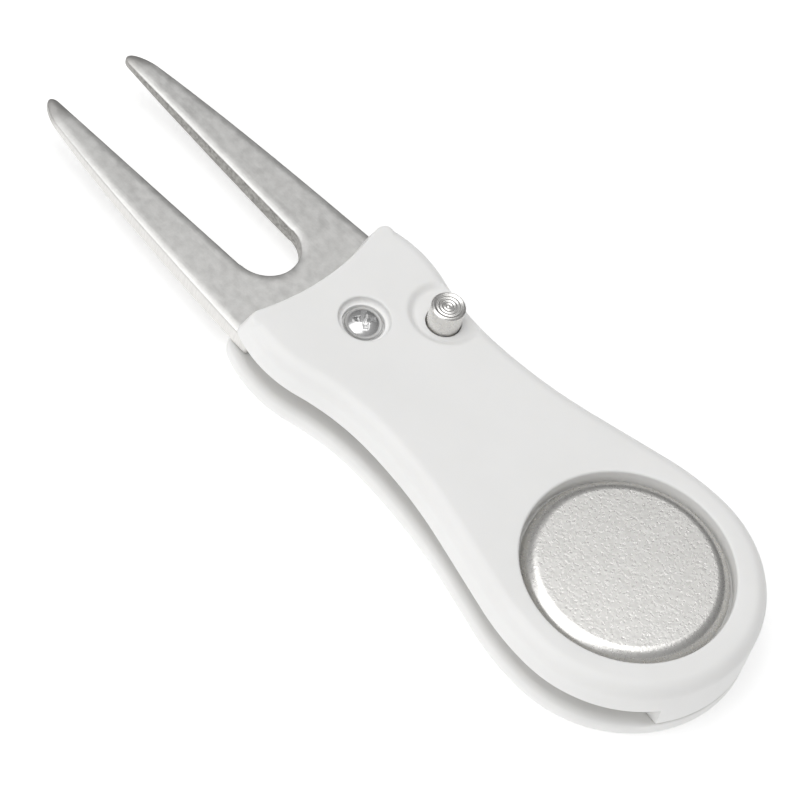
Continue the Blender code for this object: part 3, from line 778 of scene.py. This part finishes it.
def front_height(points, inset=None, fillet=None):
    """The front shell's top, from the rounded rim to the flat and into the dish."""
    if inset is None:
        inset = distance(points, [FRONT])
        apart = np.linalg.norm(points[:, None, :2] - FRONT[None, ::4, :2], axis=2)
        fillet = FRONT_FILLETS[::4][np.argmin(apart, axis=1)]
    short = np.clip(fillet - inset, 0, fillet)
    rim = FRONT_TOP - fillet + np.sqrt(fillet**2 - short**2)
    blend = 0.05
    dish = dish_height(points)
    low, high = np.minimum(rim, dish), np.maximum(rim, dish)
    return low - blend * np.log1p(np.exp((low - high) / blend))


def rim_ring(degrees):
    """A ring of the front shell's rounded rim, at an angle round its section."""
    inset = FRONT_FILLETS * (1 - math.cos(math.radians(degrees)))
    ring = ring_at(FRONT, inset, 0.0)
    ring[:, 2] = front_height(ring, inset, FRONT_FILLETS)
    return lean(ring)


def side_columns():
    """Outline rows for the front shell's side, doubled where a wall starts or ends."""
    rows, lower, feet, fillets = [], [], [], []
    tail_from, tail_to = WALL_STARTS
    short_from, short_to = SHORT_WALL
    for i, row in enumerate(FRONT):
        walled = tail_from <= i <= tail_to or short_from <= i <= short_to
        levels = [WALL_FOOT if walled else ROOF]
        if i in (tail_from, short_from):
            levels.insert(0, ROOF)
        if i in (tail_to, short_to):
            levels.append(ROOF)
        for foot in levels:
            rows.append(row)
            lower.append(FOOT[i])
            feet.append(foot)
            fillets.append(FRONT_FILLETS[i])
    return tuple(np.array(run) for run in (rows, lower, feet, fillets))


def wall_chains():
    """The inner faces of the two walls, from outline point to outline point."""
    ring = lean(ring_at(FRONT, LIP, ROOF))
    feet = lean(ring_at(FRONT, WALL_LIP, WALL_FOOT))
    sweep = [polar(PIVOT, TIP_SWEEP_R, 173 + 16 * i / 24) for i in range(25)]
    long_run = [CAVITY_TAIL[1]] + sweep + REAR_WALL
    short_run = [(FRONT_WALL_X[0] + 2.2, FRONT_WALL_Y), (FRONT_WALL_X[1], FRONT_WALL_Y)]
    chains = []
    for run, (start, end) in ((long_run, WALL_STARTS), (short_run, SHORT_WALL)):
        upper, lower = (np.array([tuple(rim[start][:2])] + run + [tuple(rim[end][:2])])
                        for rim in (ring, feet))
        chains.append((column(upper, ROOF), column(lower, WALL_FOOT)))
    return ring, feet, chains


def front_grid(rim, holes):
    """Points to carry the front face's shape: fine over the dish, coarse elsewhere."""
    reach = DISH_RADII[1] + DISH_MARGIN
    coarse = hex_grid(FRONT_LOW, FRONT_HIGH, 1.0)
    fine = hex_grid((DISH[0] - 6, DISH[1] - 6), (DISH[0] + 6, DISH[1] + 6), 0.3)
    coarse = coarse[np.linalg.norm(coarse - np.array(DISH), axis=1) >= reach]
    fine = fine[np.linalg.norm(fine - np.array(DISH), axis=1) < reach]
    grid = np.concatenate((coarse, fine))
    margin = np.repeat((0.5, 0.2), (len(coarse), len(fine)))
    clear = inside(grid, rim) & (distance(grid, [rim] + holes) > margin)
    for hole in holes:
        clear &= ~inside(grid, hole)
    return grid[clear]


def make_front_shell():
    skin = Skin()
    lower = [rim_ring(angle) for angle in np.linspace(0, LOFT_TO, 5)]
    upper = [rim_ring(angle) for angle in np.linspace(LOFT_TO, 90, 9)[1:]]
    skin.loft(lower)

    # Front face, with its three holes: the recess over its magnet's pocket, the stepped
    # hole for the screw with its hollow wall, and the button's hole in the dish
    bevel = RECESS_FLOOR_BEVEL
    recess = sink(skin, MARKER, rolled(RECESS_R, FRONT_TOP, RECESS_LIP)
                  + [(RECESS_R, RECESS_FLOOR + bevel), (RECESS_R - bevel, RECESS_FLOOR)],
                  180, False)
    magnet_r, magnet_floor = MAGNET_POCKET
    skin.cap([circle(MARKER, RECESS_R - bevel, RECESS_FLOOR, 180),
              circle(MARKER, magnet_r + HOLE_LIP, RECESS_FLOOR)])
    sink(skin, MARKER, rolled(magnet_r, RECESS_FLOOR, HOLE_LIP) + [(magnet_r, magnet_floor)])
    seat_r, seat_z = HEAD_SEAT
    hollow_in, hollow_tall = COUNTERBORE_HOLLOW
    bore = rolled(COUNTERBORE_R, FRONT_TOP, COUNTERBORE_LIP)
    bore += [(COUNTERBORE_R - hollow_in * near, COUNTERBORE_LEDGE + hollow_tall * up)
             for near, up in quarter(0, 90, 9)]
    bore += rolled(seat_r, COUNTERBORE_LEDGE, SEAT_LIP, 3)
    bore += [(seat_r, seat_z), (SCREW_HOLE_R, seat_z), (SCREW_HOLE_R, ROOF)]
    counterbore = sink(skin, PIVOT, bore, floor=False)
    floor = dish_height(np.array([BUTTON]))[0]
    button = sink(skin, BUTTON, rolled(BUTTON_HOLE_R, floor, HOLE_LIP) + [(BUTTON_HOLE_R, ROOF)],
                  floor=False)
    holes = [recess, counterbore, button]
    skin.cap([lower[-1]] + holes, front_grid(upper[-1], holes), front_height, upper)

    # Side, down to the roof of the slot or to the foot of a wall
    columns, lower_rows, feet, fillets = side_columns()
    lips = np.where(feet > WALL_FOOT, LIP, WALL_LIP)
    rings = [ring_at(columns, 0.0, 0.0)]
    rings[0][:, 2] = front_height(rings[0], np.zeros(len(columns)), fillets)
    rings.append(ring_at(columns, 0.0, ROOF + LIP + 0.02))
    rings += [ring_at(columns, near * lips, feet + up * lips) for near, up in quarter(0, 90, 5)]
    skin.loft([lean(each, columns, lower_rows) for each in rings])

    # Underside: the roof of the slot, the feet of both walls and their inner faces
    ring, foot_ring, (long_chain, short_chain) = wall_chains()
    tail_from, tail_to = WALL_STARTS
    short_from, short_to = SHORT_WALL
    roof = np.concatenate((
        ring[short_to + 1:], ring[:tail_from], long_chain[0],
        ring[tail_to + 1:short_from], short_chain[0],
    ))
    tail_wall = np.concatenate((foot_ring[tail_from:tail_to], long_chain[1][:0:-1]))
    short_wall = np.concatenate((foot_ring[short_from:short_to], short_chain[1][:0:-1]))
    skin.cap([column(roof, ROOF), circle(PIVOT, SCREW_HOLE_R, ROOF),
              circle(BUTTON, BUTTON_HOLE_R, ROOF)])
    pilot = [(TAIL_HOLE_R, WALL_FOOT), (TAIL_HOLE_R, TAIL_HOLE_TOP)]
    skin.cap([column(tail_wall, WALL_FOOT)]
             + [sink(skin, centre, pilot, 32) for centre in TAIL_SCREWS])
    skin.cap([column(short_wall, WALL_FOOT)])
    for chain in (long_chain, short_chain):
        skin.loft(chain, closed=False)
    place("front_shell_moulding", skin.mesh("front_shell_moulding"), PLASTIC, (0, 0, 0),
          "handle", "front_shell", "shell")


def inner_fillets():
    """The back shell's inner rim radius: full where the slot is open, small under a wall."""
    along = np.concatenate(((0.0,), np.cumsum(np.linalg.norm(
        np.diff(BACK[:, :2], axis=0), axis=1))))
    across = np.clip(0.5 + BACK[:, 1] / 16, 0, 1)
    across = across * across * (3 - 2 * across)
    radii = INNER_FILLET_SPINE + (INNER_FILLET_OPEN - INNER_FILLET_SPINE) * across
    for start, end in wall_spans(BACK):
        outside = np.maximum(along[start] - along, along - along[end])
        share = np.clip(outside / 3.0, 0, 1)
        share = share * share * (3 - 2 * share)
        radii = np.minimum(radii, INNER_FILLET_SHUT
                           + (INNER_FILLET_OPEN - INNER_FILLET_SHUT) * share)
    return radii


def make_back_shell():
    skin = Skin()
    inner = inner_fillets()
    rings = [ring_at(BACK, BACK_FILLET * near, BACK_FILLET * up)
             for near, up in quarter(90, 0, 9)]
    rings += [ring_at(BACK, inner * near, BACK_TOP - inner * down)
              for near, down in quarter(0, 90, 8)]
    skin.loft(rings)

    # Back face, with two screw seats right through it
    seat_r, seat_top = TAIL_SEAT
    seat = [(seat_r + HOLE_LIP, 0.0), (seat_r, HOLE_LIP), (seat_r, seat_top),
            (TAIL_HOLE_R, seat_top), (TAIL_HOLE_R, BACK_TOP)]
    skin.cap([rings[0]] + [sink(skin, centre, seat, 48, False) for centre in TAIL_SCREWS])

    # Inner face, with pockets for the insert, the coil and its foot, and the button's spring
    pocket_r, pocket_floor = INSERT_POCKET
    insert = sink(skin, PIVOT, [(pocket_r, BACK_TOP), (pocket_r, pocket_floor)])
    spring_r, spring_floor = SPRING_POCKET
    spring = sink(skin, BUTTON, [(spring_r, BACK_TOP), (spring_r, spring_floor)])
    inner_r, outer_r = COIL_POCKET
    skin.loft([insert, circle(PIVOT, inner_r, BACK_TOP), circle(PIVOT, inner_r, COIL_FLOOR)])
    open_by = math.degrees(math.asin(FOOT_SLOT_HALF / outer_r))
    rim = [polar(PIVOT, outer_r, COIL_START + open_by + (360 - 2 * open_by) * i / 80)
           for i in range(81)]
    end = np.array(polar(PIVOT, COIL_FOOT, COIL_START))
    left = np.array(polar((0, 0), FOOT_SLOT_HALF, COIL_START + 90))
    rim = np.array(rim + [end - left, end + left])
    skin.loft([column(rim, BACK_TOP), column(rim, COIL_FLOOR)])
    skin.cap([column(rim, COIL_FLOOR), circle(PIVOT, inner_r, COIL_FLOOR)])
    skin.cap([rings[-1], column(rim, BACK_TOP), spring]
             + [circle(centre, TAIL_HOLE_R, BACK_TOP, 48) for centre in TAIL_SCREWS])
    place("back_shell_moulding", skin.mesh("back_shell_moulding"), INNER_PLASTIC, (0, 0, 0),
          "handle", "back_shell", "shell")


# ---------------------------------------------------------------- the fork

def fork_outer(x):
    run = x - FORK_SHOULDER_X
    return FORK_HALF - FORK_TAPER * run - FORK_SWEEP * run**3


def fork_inner(x):
    return FORK_INNER_HALF + FORK_INNER_SLOPE * (x - CROTCH_X)


def tine(side):
    """One tine's edge, from its outer root round the tip to the crotch."""
    end = TIP_X[side]
    start = end - TIP_OUTER_RUN
    edge = [(x, fork_outer(x)) for x in np.linspace(FORK_SHOULDER_X + 0.5, start, 60)[:-1]]
    for turn in np.radians(np.linspace(0, 90, 14)):
        x = start + TIP_OUTER_RUN * math.sin(turn)
        edge.append((x, TIP_HALF + (fork_outer(x) - TIP_HALF) * math.cos(turn)))
    for turn in np.radians(np.linspace(90, 0, 8)[1:]):
        x = end - TIP_INNER_RUN * (1 - math.sin(turn))
        edge.append((x, TIP_HALF - (TIP_HALF - fork_inner(x)) * math.cos(turn)))
    edge += [(x, fork_inner(x)) for x in np.linspace(end - TIP_INNER_RUN, CROTCH_X, 60)[1:]]
    return [(x, FORK_Y + side * y) for x, y in edge]


def fork_outline():
    folded = (2 * PIVOT[0] - BUTTON[0], 2 * PIVOT[1] - BUTTON[1])
    crotch = [polar((CROTCH_X, CROTCH_Y), FORK_INNER_HALF, 270 - 180 * i / 40)
              for i in range(1, 40)]
    root = [(FORK_SHOULDER_X - 0.25, FORK_ROOT_HALF + 0.1)]
    root += [polar(folded, NOTCH_R, 50 - 162 * i / 30) for i in range(31)]
    root += [polar(PIVOT, TANG_R, 50 + 195 * i / 60) for i in range(61)]
    root += [(-2.6, BUTTON[1]), (-2.9, -9.0), (-2.75, -10.3), (-2.2, -10.9)]
    root += [(-1.4, -FORK_ROOT_HALF), (6.2, -FORK_ROOT_HALF)]
    return soften(tine(-1) + crotch + list(reversed(tine(1))) + root, FORK_CORNER_R)


def coined(depth):
    """How far a fork face drops at a distance in from its edge."""
    near = np.clip(1 - depth / COIN_WIDTH, 0, 1)
    nearest_edge = np.clip(1 - depth / EDGE_ROUND, 0, 1)
    edge = EDGE_ROUND * (1 - np.sqrt(np.clip(1 - nearest_edge**2, 0, 1)))
    return COIN_DROP * near**2 + edge


def make_fork():
    outline = fork_outline()
    normals = outward(outline)
    low, high = FORK_LOW[2], FORK_HIGH[2]
    under_x, under_z = zip((FORK_LOW[0], low), *UNDERSIDE)
    leg = polar(PIVOT, COIL_R, COIL_START)
    bevels = ((PIVOT, FORK_BORE_R, 0.15, 96), (leg, LEG_HOLE_R, 0.08, 32))
    holes = [circle(centre, radius + bevel, 0.0, count)
             for centre, radius, bevel, count in bevels]

    def underside(points):
        return np.maximum(low, np.interp(points[:, 0], under_x, under_z))

    def top(points):
        return np.full(len(points), high)

    # Grid for both faces: fine along the coined edge, coarse inside it
    fine = hex_grid(outline.min(0), outline.max(0), 0.27)
    coarse = hex_grid(outline.min(0), outline.max(0), 0.6)
    fine = fine[distance(fine, [outline]) < COIN_WIDTH + 0.25]
    coarse = coarse[distance(coarse, [outline]) > COIN_WIDTH + 0.35]
    grid = np.concatenate((fine, coarse))
    fits = inside(grid, outline) & (distance(grid, holes) > 0.15)
    fits &= distance(grid, [outline]) > EDGE_ROUND + 0.12
    for hole in holes:
        fits &= ~inside(grid, hole)
    grid = grid[fits]

    skin = Skin()
    insets = EDGE_ROUND * (1 - np.cos(np.radians((0, 30, 55, 75, 90))))
    for face, sign in ((top, -1), (underside, 1)):
        def surface(points, face=face, sign=sign):
            return face(points) + sign * coined(distance(points, [outline]))

        rings = [column(outline - normals * inset, face(outline) + sign * coined(inset))
                 for inset in insets]
        skin.loft(rings)
        skin.cap([rings[-1]] + [column(hole, face(hole)) for hole in holes], grid, surface)
    lower, upper = underside(outline) + coined(0.0), top(outline) - coined(0.0)
    skin.loft([column(outline, lower + (upper - lower) * share) for share in np.linspace(0, 1, 7)])
    for centre, radius, bevel, count in bevels:
        sink(skin, centre, [(radius + bevel, high), (radius, high - bevel),
                            (radius, low + bevel), (radius + bevel, low)], count, False)
    place("fork_blade", skin.mesh("fork_blade"), FORK_STEEL, (0, 0, 0), "fork", "fork", "fork")


# ---------------------------------------------------------------- turned pieces

def turned_mesh(name, profile, count):
    """A closed solid of revolution from radius and height rows, about its own axis."""
    skin = Skin()
    skin.loft([circle((0.0, 0.0), max(radius, 1e-5), height, count)
               for radius, height in profile])
    return skin.mesh(name)


def cross_cutter(reach, depth, top, turn, wing):
    """A four-winged tapered driver shape, point down, to cut a cross recess."""
    outline = []
    for arm in range(4):
        for along, across in ((reach, -wing), (reach, wing), (wing * 1.25, wing * 1.25)):
            bend = math.degrees(math.atan2(across, along))
            outline.append(polar((0.0, 0.0), math.hypot(along, across), turn + 90 * arm + bend))
    outline = np.array(outline)
    skin = Skin()
    levels = ((1.25, top + 0.5), (1.0, top - 0.05), (0.72, top - 0.62 * depth), (0.3, top - depth))
    rings = [column(outline * share, height) for share, height in levels]
    skin.loft(rings)
    skin.cap([rings[0]])
    skin.cap([rings[-1]])
    return add_object("cross_cutter", skin.mesh("cross_cutter"))


def cut_cross(mesh, name, reach, depth, top, turn, wing):
    """Cut a driver recess into a screw head's mesh, soften its edges and name it."""
    body = add_object("cross_body", mesh)
    cutter = cross_cutter(reach, depth, top, turn, wing)
    boolean = body.modifiers.new("recess", "BOOLEAN")
    boolean.operation = "DIFFERENCE"
    boolean.solver = "EXACT"
    boolean.object = cutter
    bevel = body.modifiers.new("worn_edges", "BEVEL")
    bevel.width = 0.035 * MM
    bevel.segments = 2
    bevel.limit_method = "ANGLE"
    bevel.angle_limit = math.radians(38)
    bevel.use_clamp_overlap = True
    bpy.context.view_layer.update()
    depsgraph = bpy.context.evaluated_depsgraph_get()
    cut = bpy.data.meshes.new_from_object(body.evaluated_get(depsgraph))
    for thing in (body, cutter):
        bpy.data.objects.remove(thing, do_unlink=True)
    cut.name = name
    return cut


def make_pivot_screw():
    """A domed pan head over a plain shank."""
    base = SCREW_LOW[2]
    top, rim = SCREW_HIGH[2] - base, HEAD_BOTTOM - base
    waist = rim + 0.42
    flat = 0.12
    profile = [(0.0, top)]
    profile += [(HEAD_R - (HEAD_R - flat) * out, top - (top - waist) * down)
                for out, down in quarter(85, 0, 18)]
    profile += [(HEAD_R, waist - 0.05), (HEAD_R, rim + 0.12), (HEAD_R - 0.1, rim),
                (SHANK_R, rim), (SHANK_R, 0.4), (SHANK_R - 0.3, 0.0), (0.0, 0.0)]
    mesh = turned_mesh("pivot_screw_head", profile, 96)
    mesh = cut_cross(mesh, "pivot_screw_bright", 1.5, 1.25, top, 52.0, 0.36)
    place("pivot_screw_bright", mesh, CHROME, (*PIVOT, base), "handle", "pivot_screw",
          "screw", 30)


def make_tail_screws():
    """Two small domed screws, turned over to go in from the back face."""
    head, tall_head, shank = TAIL_HEAD_R, TAIL_HEAD_TALL, TAIL_SHANK_R
    for label, side, centre in zip(("open", "spine"), (1, -1), TAIL_SCREWS):
        node = "tail_screw_" + label
        low, high = cad(node)
        tall = high[2] - low[2]
        profile = [(0.0, tall)]
        profile += [(head * (1 - out), tall - 0.75 * down)
                    for down, out in quarter(7.5, 90, 12)]
        profile += [(head, tall - tall_head + 0.1), (head - 0.1, tall - tall_head),
                    (shank, tall - tall_head), (shank, 0.6), (0.0, 0.0)]
        mesh = turned_mesh(node + "_head", profile, 72)
        mesh = cut_cross(mesh, node + "_bright", 1.15, 0.85, tall, 20.0 * side, 0.24)
        mesh.transform(Matrix.Rotation(math.pi, 4, "X") @ Matrix.Translation((0, 0, -tall * MM)))
        place(node + "_bright", mesh, CHROME, (*centre, low[2]), "handle", node, "screw", 30)


def make_button():
    """The turned button: ringed end face with a nib, bevelled rim, hollow from below."""
    base, top = BUTTON_LOW[2], BUTTON_HIGH[2] - BUTTON_LOW[2]
    collar_r, collar = COLLAR[0], COLLAR[1] - base
    bore_r, bore_top = BUTTON_BORE[0], BUTTON_BORE[1] - base
    profile = []
    for radius in np.linspace(0.0, BUTTON_FACE_R, 60):
        groove = 0.035 * math.cos(2 * math.pi * radius / 0.43) * min(1.0, radius / 0.3)
        nib = 0.10 * math.exp(-(radius / 0.16) ** 2)
        sag = -0.07 * (1 - (radius / BUTTON_FACE_R) ** 2)
        profile.append((radius, top - 0.1 + groove + nib + sag))
    profile += [(BUTTON_FACE_R + 0.06, top - 0.04), (BUTTON_FACE_R + 0.12, top),
                (BUTTON_R - 0.2, top - 0.01), (BUTTON_R, top - 0.2), (BUTTON_R, top - 0.26)]
    profile += [(BUTTON_R, collar + 0.1), (BUTTON_R - 0.04, collar)]
    profile += [(collar_r - 0.05, collar), (collar_r, collar - 0.05), (collar_r, 0.08),
                (collar_r - 0.08, 0.0)]
    profile += [(bore_r + 0.05, 0.0), (bore_r, 0.06), (bore_r, bore_top - 0.05),
                (0.0, bore_top)]
    place("button_cap", turned_mesh("button_cap", profile, 144), TURNED, (*BUTTON, base),
          "button", "release_button", "button", 40)


def pebbling(x, y):
    """How far the marker's pebbled finish drops at a place, in millimetres."""
    spot = Vector((x / PEBBLE_SIZE, y / PEBBLE_SIZE, 3.7))
    coarse = noise.noise(spot)
    fine = noise.noise(spot * 2.3 + Vector((9.1, 4.2, 0.0)))
    return PEBBLE_DEPTH * (1 - min(1.0, max(0.0, 0.5 + 0.62 * coarse + 0.28 * fine)))


def make_marker():
    """The ball marker: a pebbled flat, a rolled shoulder and a thin edge."""
    base, top = MARKER_LOW[2], MARKER_HIGH[2]
    count = MARKER_GRID
    skin = Skin()
    axis = np.linspace(-1, 1, count + 1)
    across, along = np.meshgrid(axis, axis)
    flat = np.column_stack(((across * np.sqrt(1 - along**2 / 2) * MARKER_FLAT_R).ravel(),
                            (along * np.sqrt(1 - across**2 / 2) * MARKER_FLAT_R).ravel()))
    flat = column(flat, top - np.array([pebbling(x, y) for x, y in flat]))
    ids = skin.add(flat)
    wide = count + 1
    for i in range(count):
        for j in range(count):
            corner = i * wide + j
            skin.faces.append(tuple(ids[corner + k] for k in (0, 1, wide + 1, wide)))
    border = [(0, j) for j in range(count)] + [(i, count) for i in range(count)]
    border += [(count, j) for j in range(count, 0, -1)] + [(i, 0) for i in range(count, 0, -1)]
    edge = flat[[i * wide + j for i, j in border]]
    direction = edge[:, :2] / np.linalg.norm(edge[:, :2], axis=1)[:, None]
    rings = [edge]
    for turn in np.radians(np.linspace(0, 90, 16)[1:]):
        ring = direction * (MARKER_FLAT_R + (MARKER_R - MARKER_FLAT_R) * math.sin(turn))
        height = MARKER_SIDE + (top - MARKER_SIDE) * math.cos(turn)
        drop = np.array([pebbling(x, y) for x, y in ring]) * math.cos(turn) ** 2
        rings.append(column(ring, height - drop))
    for radius, height in ((MARKER_R, base + 0.2), (MARKER_R - 0.2, base), (4.0, base),
                           (1e-5, base)):
        rings.append(column(direction * radius, height))
    skin.loft(rings)
    mesh = skin.mesh("marker_disc")
    mesh.transform(Matrix.Translation((0, 0, -base * MM)))
    place("marker_disc", mesh, NICKEL, (*MARKER, base), "marker", "ball_marker", "marker", 40)


# ---------------------------------------------------------------- springs

def wire_mesh(name, path, radius):
    """A round wire with domed ends along a path of X, Y, Z points."""
    path = np.array(path)
    ahead = np.gradient(path, axis=0)
    ahead /= np.linalg.norm(ahead, axis=1)[:, None]
    across = np.cross(ahead[0], (0.0, 0.0, 1.0))
    angles = np.arange(WIRE_SIDES) * 2 * np.pi / WIRE_SIDES
    rings = []
    for point, direction in zip(path, ahead):
        across = across - direction * (across @ direction)
        across /= np.linalg.norm(across)
        over = np.cross(direction, across)
        rings.append(point + radius * (np.outer(np.cos(angles), across)
                                       + np.outer(np.sin(angles), over)))
    first, last = rings[0], rings[-1]
    starts, ends = [], []
    for share in (1e-5, 0.5, 0.85):
        bulge = radius * math.sqrt(1 - share**2) * 0.6
        starts.append(path[0] + (first - path[0]) * share - ahead[0] * bulge)
        ends.append(path[-1] + (last - path[-1]) * share + ahead[-1] * bulge)
    skin = Skin()
    skin.loft(starts + rings + ends[::-1])
    return skin.mesh(name)


def make_button_spring():
    """Compression spring with closed ends."""
    low, high = cad("button_spring")
    bottom, top = low[2] + SPRING_WIRE_R, high[2] - SPRING_WIRE_R
    path = []
    for share in np.linspace(0, 1, 361):
        closed = np.clip((share * SPRING_TURNS - 1) / (SPRING_TURNS - 2), 0, 1)
        rise = 0.02 * share + 0.98 * closed
        path.append((*polar((0.0, 0.0), SPRING_R, 360 * SPRING_TURNS * share),
                     (top - bottom) * rise))
    mesh = wire_mesh("button_spring_coil", path, SPRING_WIRE_R)
    piece = place("button_spring_coil", mesh, SPRING_STEEL, (*BUTTON, bottom), "handle",
                  "button_spring", "spring", 60)
    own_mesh(piece)


def make_torsion_spring():
    """Torsion spring: a foot out to the back shell, two turns and a leg up into the fork."""
    leg_top = cad("torsion_spring")[1][2]
    floor = COIL_FLOOR + COIL_WIRE_R + 0.05
    path = [(*polar((0, 0), radius, COIL_START), floor)
            for radius in np.linspace(*COIL_FOOT_RUN, 6)]
    for i in range(4, 73 * COIL_TURNS):
        ease = min(1.0, i / 10)
        x, y = polar((0, 0), COIL_R + 0.45 * (1 - ease) ** 2, COIL_START + 5 * i)
        path.append((x, y, floor + COIL_PITCH * 5 * i / 360))

    # A tight bend out of the last turn, then the leg straight up
    reach, rise = 0.09, 0.3
    x, y, z = path[-1]
    for t in np.linspace(0.15, 1, 8):
        turn = t * math.pi / 2
        path.append((*polar((x, y), reach * math.sin(turn), COIL_START + 360 * COIL_TURNS + 90),
                     z + rise * (1 - math.cos(turn)) + 0.2 * t))
    x, y, z = path[-1]
    path += [(x, y, z + (leg_top - z) * t) for t in (0.25, 0.5, 0.75, 0.97)]
    mesh = wire_mesh("torsion_spring_coil", path, COIL_WIRE_R)
    mesh.transform(Matrix.Translation((PIVOT[0] * MM, PIVOT[1] * MM, 0)))
    piece = place("torsion_spring_coil", mesh, SPRING_STEEL, (0, 0, 0), None, "torsion_spring",
                  "spring", 60)
    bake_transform(piece)


# ---------------------------------------------------------------- assembly

make_front_shell()
make_back_shell()
make_fork()
make_pivot_screw()
make_tail_screws()
make_button()
make_marker()
make_button_spring()
make_torsion_spring()

CAD_FINISHES = {
    "pivot_sleeve": SLEEVE_STEEL,
    "front_washer": NYLON,
    "back_washer": NYLON,
    "pivot_insert": BRASS,
    "magnet": MAGNET_PLATE,
}
for node, material in CAD_FINISHES.items():
    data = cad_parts[node].data
    data.materials.clear()
    data.materials.append(material)


# ---------------------------------------------------------------- floor, light and camera

def make_floor():
    """A plain white table top under the tool."""
    mesh = bpy.data.meshes.new("table_top")
    mesh.from_pydata([(-3, -3, 0), (3, -3, 0), (3, 3, 0), (-3, 3, 0)], [], [(0, 1, 2, 3)])
    r = Recipe("white_table")
    r.set(Base_Color=(0.93, 0.93, 0.93), Roughness=0.9, Specular_IOR_Level=0.1,
          Emission_Color=(1.0, 1.0, 1.0), Emission_Strength=0.34)
    mesh.materials.append(r.material)
    floor = add_object("table_top", mesh)
    floor.location = (0, 0, -0.02 * MM)


def softbox(name, spot, size, power):
    """A rectangular soft light aimed at the origin; its spot and size are in metres."""
    light = bpy.data.lights.new(name, "AREA")
    light.shape = "RECTANGLE"
    light.size, light.size_y = size
    light.energy = power
    lamp = add_object(name, light)
    lamp.location = spot
    lamp.rotation_euler = (-Vector(spot)).to_track_quat("-Z", "Y").to_euler()


def make_world():
    """A white tent, lightest overhead and darker towards the spine's side."""
    world = bpy.data.worlds.new("white_tent")
    world.use_nodes = True
    tree = world.node_tree
    background = tree.nodes["Background"]
    coords = tree.nodes.new("ShaderNodeTexCoord")
    split = tree.nodes.new("ShaderNodeSeparateXYZ")
    tree.links.new(coords.outputs["Generated"], split.inputs[0])
    shares = []
    for axis, start, end, low, high in (("Y", -0.9, 0.6, 0.10, 0.28), ("Z", 0.0, 0.9, 0.0, 0.22)):
        shade = tree.nodes.new("ShaderNodeMapRange")
        tree.links.new(split.outputs[axis], shade.inputs["Value"])
        for name, value in (("From Min", start), ("From Max", end), ("To Min", low),
                            ("To Max", high)):
            shade.inputs[name].default_value = value
        shares.append(shade.outputs["Result"])
    total = tree.nodes.new("ShaderNodeMath")
    for source, socket in zip(shares, total.inputs):
        tree.links.new(source, socket)
    tree.links.new(total.outputs[0], background.inputs["Strength"])
    background.inputs["Color"].default_value = (1.0, 1.0, 1.0, 1.0)
    bpy.context.scene.world = world


def make_camera():
    data = bpy.data.cameras.new("photo_camera")
    data.lens = LENS
    data.sensor_width = 36.0
    data.clip_start = 0.01
    data.clip_end = 20.0
    camera = add_object("photo_camera", data)
    start, target = Vector(VIEW_FROM) * MM, Vector(VIEW_TARGET) * MM
    aim = (target - start).to_track_quat("-Z", "Y").to_matrix().to_4x4()
    camera.matrix_world = (Matrix.Translation(start) @ aim
                           @ Matrix.Rotation(math.radians(VIEW_ROLL), 4, "Z"))
    bpy.context.scene.camera = camera


make_floor()
make_world()
softbox("key_softbox", (0.25, 0.6, 1.0), (1.2, 1.2), 5.9)
softbox("top_softbox", (0.15, -0.15, 1.15), (0.8, 0.8), 3.6)
make_camera()
bpy.context.scene.view_settings.view_transform = "Standard"
